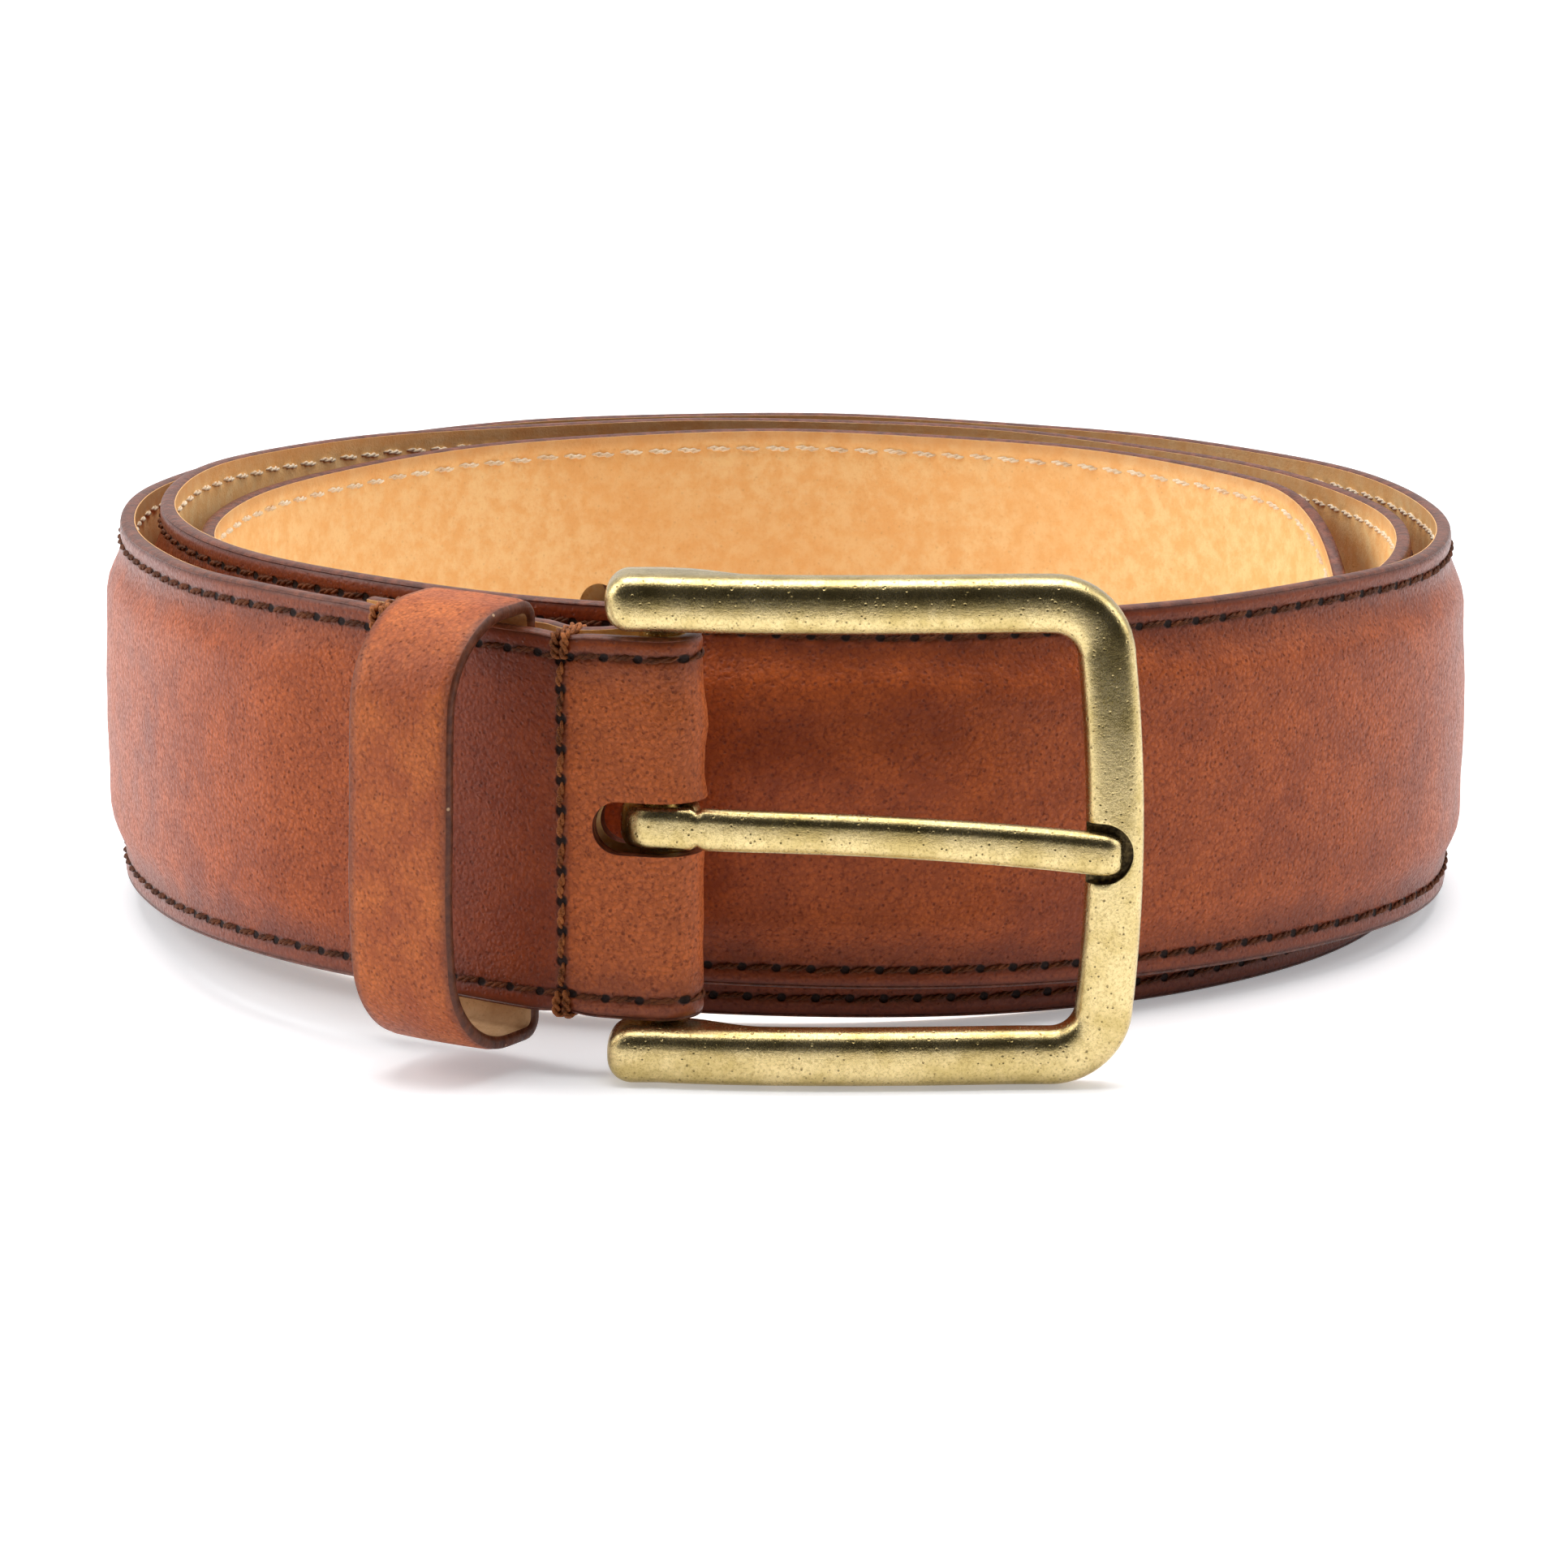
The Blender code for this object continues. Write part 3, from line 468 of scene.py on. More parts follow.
def face_finish():
    made = Finish("tan_calf", Coat_Weight=0.08, Coat_Roughness=0.26, Specular_IOR_Level=0.26)
    at = made.place()
    along, across = made.strap_place()
    inset = across.least(STRAP_WIDTH - across)
    grain, dark = pebbled(made, at)
    broad = made.noise(at, 0.035, 3.0)
    patch = made.noise(at, 0.22, 4.0, 0.6)
    colour = made.mixed(patch.rise(0.3, 0.72), (0.30, 0.050, 0.0075), (0.50, 0.100, 0.0170))
    colour = made.mixed(broad.rise(0.38, 0.7) * 0.5, colour, (0.55, 0.118, 0.0180))
    # Painted light: the fold's front, from the heel bar to the seam by the buckle, is lighter, as it
    # faces the left softbox.
    colour = made.mixed((1 - along.rise(6.5, 9.0)) * 0.55, colour, (0.72, 0.175, 0.036))
    # Painted shade: from the end of the first wrap on, where the strap lies behind the buckle frame
    # and inside the outer wrap, the face is darker.
    colour = made.mixed(along.rise(410, 450) * 0.28, colour, (0.21, 0.030, 0.004))
    # Painted shade: the face beside and under the keeper, between the seam by the buckle and the
    # padding seam, is darker.
    painted_keeper_shade = along.rise(8.0, 9.2) * (1 - along.rise(22.0, 25.0))
    colour = made.mixed(painted_keeper_shade * 0.6, colour, (0.17, 0.022, 0.003))
    colour = made.mixed(dark * 0.62, colour, (0.120, 0.016, 0.003))
    burnish = 1 - (inset + patch * 2.6).rise(2.4, 7.5)
    colour = made.mixed(burnish * 0.62, colour, (0.125, 0.024, 0.011))
    rim = 1 - inset.rise(0.1, 0.7)
    colour = made.mixed(rim * 0.7, colour, (0.075, 0.024, 0.016))
    line = inset - STITCH_INSET
    along_pitch = (along - STITCH_START).repeated(PITCH)
    hole = 1 - (along_pitch * along_pitch * 0.75 + line * line).rise(0.07, 0.20)
    groove_dip_and_shade = 1 - line.size().rise(0.18, 0.62)
    seam = (along - SEAM_BY_BUCKLE).size().least((along - SEAM_BY_PADDING).size())
    back_seam = (along + SEAM_BY_BUCKLE + math.pi * FOLD_RADIUS).size().least(
        (along + SEAM_BY_PADDING + math.pi * FOLD_RADIUS).size())
    seam = seam.least(back_seam)
    seam_pitch = (across - HALF - SEAM_PITCH / 2).repeated(SEAM_PITCH)
    seam_hole = 1 - (seam_pitch * seam_pitch * 0.8 + seam * seam).rise(0.10, 0.34)
    seam_groove_shade = 1 - seam.rise(0.25, 0.9)
    # Painted shade: the leather is darker in the stitch grooves along both margins and across both
    # seams.
    colour = made.mixed(groove_dip_and_shade.most(seam_groove_shade) * 0.5, colour, (0.07, 0.020, 0.010))
    holes = hole.most(seam_hole)
    # Painted shade: the awl holes, which the mesh doesn't cut, are painted near-black; the bump
    # sinks them.
    colour = made.mixed(holes * 0.96, colour, (0.008, 0.003, 0.002))
    height = grain * (inset.rise(0.2, 2.4) * 0.7 + 0.3) - holes * 3.0
    rough = 0.33 + dark * 0.20 + patch * 0.10 - burnish * 0.08 + holes * 0.5
    return made.done(Base_Color=colour, Roughness=rough, Normal=made.bumped(height, 0.16))


face = strip("face_leather_strip", STATIONS, FACE_INSETS,
             lambda along, inset: np.maximum(face_level(along, inset) - 0.78, LINING + 0.02),
             face_level, [face_finish()])

# ---- The painted edges
# Beads of dark edge paint seal the face leather and the lining together all round the
# strap, and close the cut at the turned back end.


def swept_ring(centres, sides, closed):
    """Faces of a tube whose rings are numbered one after another."""
    faces = quads(centres, sides, wrap_rows=closed, wrap_columns=True)
    if not closed:
        faces.append(list(range(sides)))
        faces.append(list(range((centres - 1) * sides, centres * sides)))
    return faces


BEAD_SIDES = 12
BEAD_WIDTH = 0.52
BEAD_HEIGHT = 1.40
BEAD_INSET = 0.12
BEAD_MIDDLE = 0.72
bead_turn = np.linspace(0, 2 * math.pi, BEAD_SIDES, endpoint=False)
bead_inset = BEAD_INSET - BEAD_WIDTH / 2 * np.cos(bead_turn)
bead_out = (BEAD_MIDDLE + BEAD_HEIGHT / 2 * np.sign(np.sin(bead_turn))
            * np.abs(np.sin(bead_turn)) ** 0.8)
lower = laid(STATIONS[:, None], -1, bead_inset, bead_out)
upper = laid(STATIONS[-2::-1, None], 1, bead_inset, bead_out)
bead = np.concatenate([lower, upper]).reshape(-1, 3)
bead_faces = swept_ring(2 * len(STATIONS) - 1, BEAD_SIDES, False)
end_up = np.linspace(-1, 1, 40)
end_bead = laid(SHEET_START + bead_inset - 0.1, np.sign(end_up[:, None] + 1e-9),
                HALF * (1 - np.abs(end_up[:, None])), bead_out).reshape(-1, 3)
bead_faces += [[i + len(bead) for i in face_] for face_ in swept_ring(40, BEAD_SIDES, False)]
edges = tidied(new_piece("edge_paint", np.concatenate([bead, end_bead]), bead_faces,
                         [edge_paint], sharp=60))

# ---- The prong slot and the belt holes
# The slot is punched through the fold, for the prong, and five round holes are punched
# through the strap near its tip. Their cut sides are painted like the edges.
SLOT_HEIGHT = 4.9
SLOT_BEHIND_BAR = 5.5
SLOT_CENTRE_HEIGHT = 23.3
HOLE_DIAMETER = 4.0
HOLE_SPACING = 25.0
HOLE_COUNT = 5
FIRST_HOLE_FROM_TIP = 105.0
SLOT_PUNCH = (-6.5, 5.0)
HOLE_PUNCH = (-0.6, 4.2)


def prism(outline, ways, middle, low, high):
    """Points and faces of a straight punch: an outline carried from low to high."""
    along, up, out = ways
    outline = np.asarray(outline)
    flat = middle + outline[:, :1] * along + outline[:, 1:] * up
    count = len(outline)
    faces = [(i, (i + 1) % count, count + (i + 1) % count, count + i) for i in range(count)]
    faces += [tuple(range(count)), tuple(range(2 * count - 1, count - 1, -1))]
    return np.concatenate([flat + low * out, flat + high * out]), faces


up_way = np.array([0, 0, 1.0])
bar_along = np.array([first_out[1], -first_out[0], 0])
radius = SLOT_HEIGHT / 2
slot_outline = [(-8.0, -radius), (-8.0, radius)]
for turn in np.linspace(math.pi / 2, -math.pi / 2, 24):
    slot_outline.append((SLOT_BEHIND_BAR - radius + radius * math.cos(turn),
                         radius * math.sin(turn)))
slot_middle = np.array([bar_place[0], bar_place[1], SLOT_CENTRE_HEIGHT])
punches = [prism(slot_outline, (bar_along, up_way, first_out), slot_middle, *SLOT_PUNCH)]
for i in range(HOLE_COUNT):
    along = STRAP_LENGTH - FIRST_HOLE_FROM_TIP - i * HOLE_SPACING
    place, out = on_sheet(along)
    circle = [(HOLE_DIAMETER / 2 * math.cos(t), HOLE_DIAMETER / 2 * math.sin(t))
              for t in np.linspace(0, 2 * math.pi, 40, endpoint=False)]
    hole_along = np.array([out[1], -out[0], 0])
    punches.append(prism(circle, (hole_along, up_way, out), place + up_way * HALF, *HOLE_PUNCH))
punch_points, punch_faces = [], []
for points, faces in punches:
    start = sum(len(p) for p in punch_points)
    punch_points.append(points)
    punch_faces += [tuple(i + start for i in f) for f in faces]
punch = tidied(new_piece("punch", np.concatenate(punch_points), punch_faces, [edge_paint]))
for piece in (lining, filler, face):
    cut = piece.modifiers.new("punched", "BOOLEAN")
    cut.operation = "DIFFERENCE"
    cut.solver = "EXACT"
    cut.material_mode = "TRANSFER"
    cut.object = punch
    with_cuts = bpy.data.meshes.new_from_object(
        piece.evaluated_get(bpy.context.evaluated_depsgraph_get()))
    piece.modifiers.clear()
    piece.data = with_cuts
    piece.data.shade_smooth()
    piece.data.set_sharp_from_angle(angle=math.radians(40))
bpy.data.objects.remove(punch, do_unlink=True)

for piece, node, slot in ((lining, "strap_lining", "lining_leather"),
                          (filler, "padding_core", "padding_board"),
                          (face, "strap_face_leather", "face_leather")):
    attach(piece, "strap")
    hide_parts(node)
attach(edges, "strap")

# ---- The stitching along the edges
# Saddle stitches of two-ply waxed thread, dark brown on the face and cream on the
# lining. Each one slants from one awl hole to the next and sinks in at both ends.
PLIES = 2
THREAD_RADIUS = 0.17
PLY_OFFSET = 0.15


def twisted(centres, normals, radius, offset, turns_each, sides, taper):
    """Tubes of twisted plies along many short routes: arrays of route, step, xyz."""
    ahead = np.gradient(centres, axis=1)
    ahead /= np.linalg.norm(ahead, axis=-1, keepdims=True)
    across = np.cross(ahead, normals)
    across /= np.linalg.norm(across, axis=-1, keepdims=True)
    rise = np.cross(across, ahead)
    routes, steps = centres.shape[:2]
    share = np.linspace(0, 1, steps)
    around = np.linspace(0, 2 * math.pi, sides, endpoint=False)
    points, faces = [], []
    for ply in range(PLIES):
        twist = 2 * math.pi * (turns_each * share + ply / PLIES)
        middle = centres + offset * taper[:, None] * (
            np.cos(twist)[:, None] * across + np.sin(twist)[:, None] * rise)
        ring = middle[:, :, None] + radius * taper[:, None, None] * (
            np.cos(around)[:, None] * across[:, :, None]
            + np.sin(around)[:, None] * rise[:, :, None])
        points.append(ring.reshape(-1, 3))
    one = swept_ring(steps, sides, False)
    for i in range(routes * PLIES):
        faces += [[corner + i * steps * sides for corner in face_] for face_ in one]
    return np.concatenate(points), faces


def thread_finish(name, dark, light):
    made = Finish(name, Specular_IOR_Level=0.15)
    at = made.place()
    fibre = made.noise(made.stretched(at, (1.0, 1.0, 2.0)), 5.0, 3.0, 0.7)
    drift = made.noise(at, 0.4, 2.0)
    colour = made.mixed((fibre * 0.6 + drift * 0.5).rise(0.35, 0.75), dark, light)
    return made.done(Base_Color=colour, Roughness=fibre * 0.3 + 0.4,
                     Normal=made.bumped(fibre, 0.05))


def edge_stitches(level, sign, slant, rise_high, steps):
    """Centre lines and normals of every stitch along both margins."""
    share = np.linspace(0, 1, steps)
    hole = STITCH_START + np.arange(STITCHES) * PITCH
    along = hole[:, None] + (0.06 + 0.88 * share) * PITCH
    centres, normals = [], []
    for side in (-1, 1):
        lean = slant * (1 - 2 * share) * side
        wander = 0.05 * np.sin(hole * 2.7 + side)[:, None]
        inset = STITCH_INSET - lean + wander
        lifted = rise_high * np.sin(math.pi * np.clip(share, 0.0, 1.0)) ** 0.6 - 0.22
        out = level(along, STITCH_INSET + 0 * along) + sign * (lifted + 0 * along)
        low = laid(along, side, inset, out)
        centres.append(low)
        normals.append((laid(along, side, inset, out + 0.1) - low) * sign)
    return np.concatenate(centres), np.concatenate(normals)


def stitch_taper(steps):
    share = np.linspace(0, 1, steps)
    return 0.55 + 0.45 * np.sin(math.pi * share) ** 0.4


brown_thread = thread_finish("brown_waxed_thread", (0.022, 0.007, 0.003), (0.20, 0.060, 0.020))
cream_thread = thread_finish("cream_thread", (0.74, 0.53, 0.33), (0.97, 0.88, 0.70))
routes, normals = edge_stitches(face_level, 1, 0.17, 0.36, 9)
points, faces = twisted(routes, normals, THREAD_RADIUS, PLY_OFFSET, 1.6, 6, stitch_taper(9))
face_stitches = tidied(new_piece("face_stitches", points, faces, [brown_thread], sharp=80))
routes, normals = edge_stitches(lining_low, -1, 0.12, 0.34, 7)
points, faces = twisted(routes, normals, THREAD_RADIUS, PLY_OFFSET, 1.5, 5, stitch_taper(7))
back_stitches = tidied(new_piece("lining_stitches", points, faces, [cream_thread], sharp=80))
for piece, node, slot in ((face_stitches, "needle_thread", "dark_thread"),
                          (back_stitches, "bobbin_thread", "cream_thread")):
    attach(piece, "strap")
    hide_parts(node)

# ---- The two seams across the fold
# A row of hand stitches each side of the keeper holds the turned back end to the strap.
# At both edges the thread goes round both layers of leather before it is tied off.
SEAM_STITCHES = 11
russet_thread = thread_finish("russet_waxed_thread", (0.07, 0.020, 0.007), (0.52, 0.17, 0.048))


def cross_seam(name, seam, node):
    share = np.linspace(0, 1, 9)
    height = (np.arange(SEAM_STITCHES) - SEAM_STITCHES / 2) * SEAM_PITCH
    up = height[:, None] + (0.08 + 0.84 * share) * SEAM_PITCH
    lifted = 0.42 * np.sin(math.pi * share) ** 0.6 - 0.2
    all_points, all_faces = [], []
    for layer_place in (seam, -seam - math.pi * FOLD_RADIUS):
        slanted = layer_place + 0.16 * (1 - 2 * share)
        along = np.broadcast_to(slanted, up.shape)
        inset = HALF - np.abs(up)
        out = FACE_LEVEL + lifted + 0 * up
        centres = laid(along, np.sign(up), inset, out)
        normals = laid(along, np.sign(up), inset, out + 0.1) - centres
        points, faces = twisted(centres, normals, 0.19, 0.17, 1.4, 7, stitch_taper(9))
        all_faces += [[i + sum(map(len, all_points)) for i in f] for f in faces]
        all_points.append(points)
    gap = float(pocket(np.array(seam)))
    back = -gap - FACE_LEVEL
    for side in (-1, 1):
        bend = np.linspace(-1, 1, 41)
        outside = HALF + 0.34 - 0.28
        up = side * (outside - 2.0 * np.clip(np.abs(bend) - 0.42, 0, 1) / 0.58
                     - 0.20 * ease(np.abs(bend), 0.30, 0.45))
        out = (FACE_LEVEL + back) / 2 - (FACE_LEVEL - back + 0.62) / 2 * np.sin(
            np.clip(bend / 0.52, -1, 1) * math.pi / 2)
        sink = 0.55 * ease(np.abs(bend), 0.88, 1.0)
        out = out + sink * np.sign(bend)
        place, way_out = on_sheet(np.full(41, seam))
        for beside, lean in ((-0.42, 0.25), (0.36, -0.2)):
            way_along = np.stack([way_out[:, 1], -way_out[:, 0], 0 * bend], -1)
            shift = beside * (1 - 0.7 * ease(np.abs(bend), 0.6, 1.0)) + lean * bend
            line = place + way_out * out[:, None] + way_along * shift[:, None]
            line[:, 2] += HALF + up
            hub = place[0] + way_out[0] * (FACE_LEVEL + back) / 2
            hub = hub + up_way * (HALF + side * (HALF - 1.5))
            taper = 0.6 + 0.4 * np.clip((1 - np.abs(bend)) / 0.12, 0, 1) ** 0.5
            points, faces = twisted(line[None], (line - hub)[None], 0.24, 0.21, 4.5, 8, taper)
            all_faces += [[i + sum(map(len, all_points)) for i in f] for f in faces]
            all_points.append(points)
    piece = tidied(new_piece(name, np.concatenate(all_points), all_faces, [russet_thread], 80))
    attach(piece, "strap")
    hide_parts(node)


cross_seam("seam_by_buckle", SEAM_BY_BUCKLE, "seam_thread_buckle")
cross_seam("seam_by_padding", SEAM_BY_PADDING, "seam_thread_keeper")

# ---- The keeper
# A loop of lighter tan calf that holds the belt's tip. Its rear strand is caught between
# the two linings, its edges are painted and its flesh side is left natural.
KEEPER_LEATHER = 1.25
KEEPER_LOW = 2.4
KEEPER_HIGH = 43.2
KEEPER_BACK = -0.45
KEEPER_FRONT = 11.6
KEEPER_CORNER = 7.0
KEEPER_BOW = 1.3


def keeper_middle():
    """The loop's line through the middle of its leather: offset and height."""
    thin = KEEPER_LEATHER / 2
    low, high = KEEPER_LOW + thin, KEEPER_HIGH - thin
    back, front = KEEPER_BACK - thin, KEEPER_FRONT - thin
    line = []
    for offset, height, start, side, radius in (
            (front, low, -90, 1, KEEPER_CORNER + thin), (front, high, 0, 1, KEEPER_CORNER + thin),
            (back, high, 90, -1, 1.4), (back, low, 180, -1, 1.4)):
        turn = np.radians(start + 90 * np.linspace(0, 1, 26))
        middle_height = height + radius if height == low else height - radius
        line.append(np.stack([offset - side * radius + radius * np.cos(turn),
                              middle_height + radius * np.sin(turn)], -1))
    line = np.concatenate(line + [line[0][:1]])
    length = np.concatenate([[0], np.cumsum(np.linalg.norm(np.diff(line, axis=0), axis=1))])
    even = np.linspace(0, length[-1], 260, endpoint=False)
    line = np.stack([np.interp(even, length, line[:, i]) for i in (0, 1)], -1)
    half = (KEEPER_HIGH - KEEPER_LOW) / 2
    from_middle = (line[:, 1] - KEEPER_LOW - half) / half
    swell = KEEPER_BOW * ease(line[:, 0], 0, KEEPER_FRONT - KEEPER_LEATHER)
    line[:, 0] += swell * (1 - from_middle ** 2)
    return line, even


def keeper_finish():
    made = Finish("light_tan_calf", Coat_Weight=0.08, Coat_Roughness=0.30, Specular_IOR_Level=0.28)
    at = made.place()
    grain, dark = pebbled(made, at)
    patch = made.noise(at, 0.16, 3.0, 0.6)
    colour = made.mixed(patch.rise(0.32, 0.7), (0.40, 0.080, 0.014), (0.60, 0.150, 0.026))
    colour = made.mixed(dark * 0.65, colour, (0.15, 0.025, 0.005))
    flat = made.node("UVMap", {"uv_map": "strap"})
    across = made.node("SeparateXYZ", sockets={0: flat}, out=1)
    burnish = across.rise(KEEPER_WIDTH / 2 - 1.3, KEEPER_WIDTH / 2 - 0.2)
    colour = made.mixed(burnish * 0.6, colour, (0.13, 0.038, 0.020))
    return made.done(Base_Color=colour, Roughness=0.40 + dark * 0.15 + patch * 0.08,
                     Normal=made.bumped(grain, 0.12))


def flesh_finish():
    made = Finish("natural_flesh_side", Roughness=0.8)
    at = made.place()
    nap = made.noise(at, 3.0, 4.0, 0.7)
    blotch = made.noise(at, 0.4, 3.0)
    colour = made.mixed(blotch.rise(0.3, 0.7), (0.56, 0.32, 0.15), (0.72, 0.46, 0.24))
    colour = made.mixed(nap.rise(0.5, 0.7) * 0.4, colour, (0.36, 0.18, 0.08))
    return made.done(Base_Color=colour, Normal=made.bumped(nap, 0.12))


def keeper_edge_finish():
    made = Finish("keeper_painted_edge", Coat_Weight=0.08, Specular_IOR_Level=0.25)
    at = made.place()
    streak = made.noise(at, 1.1, 4.0, 0.6)
    nick = 1 - made.cells(at, 0.55).rise(0.06, 0.11)
    colour = made.mixed(streak.rise(0.3, 0.7), (0.075, 0.020, 0.009), (0.16, 0.046, 0.020))
    colour = made.mixed(nick * 0.9, colour, (0.66, 0.42, 0.24))
    return made.done(Base_Color=colour, Roughness=streak * 0.2 + 0.32,
                     Normal=made.bumped(streak, 0.15))


keeper_line, keeper_run = keeper_middle()
toward = np.roll(keeper_line, -1, 0) - np.roll(keeper_line, 1, 0)
toward /= np.linalg.norm(toward, axis=1, keepdims=True)
keeper_out = np.stack([toward[:, 1], -toward[:, 0]], -1)
wide, thick = KEEPER_WIDTH / 2, KEEPER_LEATHER / 2
outer_side = [(w, thick + 0.10 * (1 - (w / wide) ** 2) - 0.12 * bell(abs(w), wide - 0.35, 0.3))
              for w in np.concatenate([[-wide + 0.22, -wide + 0.5, -wide + 0.9],
                                       np.linspace(-wide + 1.6, wide - 1.6, 9),
                                       [wide - 0.9, wide - 0.5, wide - 0.22]])]
edge_turn = np.linspace(math.pi / 2, -math.pi / 2, 9)[1:-1]
right_edge = [(wide - 0.22 + 0.24 * math.cos(t), (thick - 0.12) * math.sin(t)) for t in edge_turn]
inner_side = [(w, -thick) for w in np.linspace(wide - 0.25, -wide + 0.25, 8)]
left_edge = [(-w, h) for w, h in reversed(right_edge)]
section = np.array(outer_side + right_edge + inner_side + left_edge)
outer_count, edge_count, inner_count = len(outer_side), len(right_edge), len(inner_side)
wave = 0.10 * np.sin(keeper_run / 7.3) + 0.06 * np.sin(keeper_run / 2.9 + 2)
keeper_place, keeper_way_out = on_sheet(KEEPER_CENTRE)
keeper_along = np.array([keeper_way_out[1], -keeper_way_out[0], 0])
offset = keeper_line[:, :1] + keeper_out[:, :1] * section[:, 1]
height = keeper_line[:, 1:] + keeper_out[:, 1:] * section[:, 1]
sideways = section[:, 0] + wave[:, None]
points = (np.array([keeper_place[0], keeper_place[1], 0]) + offset[..., None] * keeper_way_out
          + height[..., None] * up_way + sideways[..., None] * keeper_along)
rows, columns = offset.shape
faces = quads(rows, columns, wrap_rows=True, wrap_columns=True)
pick_one = ([0] * (outer_count - 1) + [1] * (edge_count + 1) + [2] * (inner_count - 1)
            + [1] * (edge_count + 1))
keeper = new_piece("keeper_band", points.reshape(-1, 3), faces,
                   [keeper_finish(), keeper_edge_finish(), flesh_finish()], 60, pick_one * rows)
flat = np.stack([np.broadcast_to(keeper_run[:, None], offset.shape),
                 np.broadcast_to(np.abs(section[:, 0]), offset.shape)], -1).reshape(-1, 2)
corners = np.zeros(len(keeper.data.loops), int)
keeper.data.loops.foreach_get("vertex_index", corners)
layout = keeper.data.uv_layers.new(name="strap")
layout.uv.foreach_set("vector", flat[corners].astype(np.float32).ravel())
tidied(keeper)
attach(keeper, "strap")
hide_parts("keeper_loop")

# ---- The buckle's frame
# A cast brass frame, open at the heel bar's side: two arms with rounded ends and an
# outer bar that arches forward between its corners, with a notch for the prong.
BUCKLE_HEIGHT = 46.7
BUCKLE_REACH = 40.6
BUCKLE_TAIL = 4.9
ARM_HEIGHT = 5.2
ARM_DEPTH = 4.4
ARM_FORWARD = 3.2
ARM_SWELL = 1.3
LUG_DEPTH = 2.4
CORNER_RADIUS = 4.9
OUTER_BAR_BOW = 0.8
OUTER_BAR_ARCH = 1.8
NOTCH_HEIGHT = 5.6
NOTCH_DEPTH = 1.5
NOTCH_END = 1.0
PRONG_LENGTH = 41.2
PRONG_DROOP = 1.55


def brass_finish(name, pitting):
    made = Finish(name, Metallic=1.0)
    at = made.place()
    tarnish = made.noise(at, 0.22, 5.0, 0.68)
    brushed = made.noise(made.stretched(at, (0.35, 1.0, 1.4)), 3.0, 4.0, 0.7)
    pit_depth = made.noise(at, 0.8, 3.0)
    pits = 1 - (made.cells(at, 1.5) + pit_depth * 0.30).rise(0.22, 0.36)
    fine = made.noise(at, 3.6, 4.0, 0.8)
    colour = made.mixed(tarnish.rise(0.34, 0.62), (0.52, 0.395, 0.155), (0.71, 0.56, 0.275))
    colour = made.mixed(fine.rise(0.47, 0.62) * 0.5, colour, (0.30, 0.215, 0.070))
    colour = made.mixed(pits * pitting, colour, (0.13, 0.085, 0.026))
    height = brushed * 0.4 + fine * 0.7 - pits * 1.0
    return made.done(Base_Color=colour, Roughness=0.13 + tarnish * 0.10 + fine * 0.16,
                     Normal=made.bumped(height, 0.030))


def by_bar(points):
    """From the buckle's own place, round the heel bar's axis, to the world."""
    return np.asarray(points) + np.array([bar_place[0], bar_place[1], BUCKLE_HEIGHT / 2])


def rounded_section(sides, roundness):
    turn = np.linspace(0, 2 * math.pi, sides, endpoint=False)
    cos, sin = np.cos(turn), np.sin(turn)
    return np.stack([np.sign(cos) * np.abs(cos) ** roundness,
                     np.sign(sin) * np.abs(sin) ** roundness], -1) / 2


def in_front(x, height):
    """How far the frame's middle is in front of the heel bar: arms and outer bar both curve."""
    swell = ARM_SWELL * np.sin(math.pi * np.clip(x / BUCKLE_REACH, 0, 1) ** 0.75)
    share = ease(x, BUCKLE_REACH - 2 * CORNER_RADIUS, BUCKLE_REACH - CORNER_RADIUS / 2)
    return ARM_FORWARD + swell + OUTER_BAR_ARCH * share * (1 - (2 * height / BUCKLE_HEIGHT) ** 2)


arm = BUCKLE_HEIGHT / 2 - ARM_HEIGHT / 2
straight = arm - CORNER_RADIUS
corner_x = BUCKLE_REACH - OUTER_BAR_BOW - CORNER_RADIUS
END_ROUND = 2.3
route = [(-BUCKLE_TAIL + END_ROUND * (1 - math.cos(a)), arm, 0.0,
          math.sin(a) ** 0.8) for a in np.linspace(0.06, math.pi / 2, 14)]
route += [(x, arm, 0.0, 1.0) for x in np.linspace(END_ROUND - BUCKLE_TAIL + 1.2, corner_x, 30)]
route += [(corner_x + CORNER_RADIUS * math.sin(a), arm - CORNER_RADIUS * (1 - math.cos(a)),
           a, 1.0) for a in np.linspace(0, math.pi / 2, 15)[1:-1]]
route += [(BUCKLE_REACH - OUTER_BAR_BOW * (h / straight) ** 2, h, math.pi / 2, 1.0)
          for h in np.linspace(straight, 0, 28)]
route += [(x, -h, math.pi - a, size) for x, h, a, size in reversed(route[:-1])]
x, h, turn, size = (np.array(column) for column in zip(*route))
middle = np.stack([x, -in_front(x, h), h], -1)
section = rounded_section(32, 0.72)
across = np.stack([np.sin(turn), 0 * turn, np.cos(turn)], -1)
ahead = np.gradient(middle, axis=0)
forward = np.cross(ahead, across)
forward /= np.linalg.norm(forward, axis=1, keepdims=True)
forward *= np.sign(-forward[:, 1:2])
across = np.cross(forward, ahead)
across /= np.linalg.norm(across, axis=1, keepdims=True)
points = (middle[:, None] + section[:, :1] * ARM_DEPTH * size[:, None, None] * forward[:, None]
          + section[:, 1:] * ARM_HEIGHT * size[:, None, None] * across[:, None])
lug = LUG_DEPTH * (1 - ease(x, 1.5, 9)) * size
points -= (lug[:, None] * np.clip(section[:, 0] * -4, 0, 1))[..., None] * forward[:, None]
brass = brass_finish("aged_brass", 0.6)
dull_brass_finish = Finish("blackened_notch", Metallic=0.85)
notch_dirt = dull_brass_finish.noise(dull_brass_finish.place(), 1.6, 4.0, 0.7)
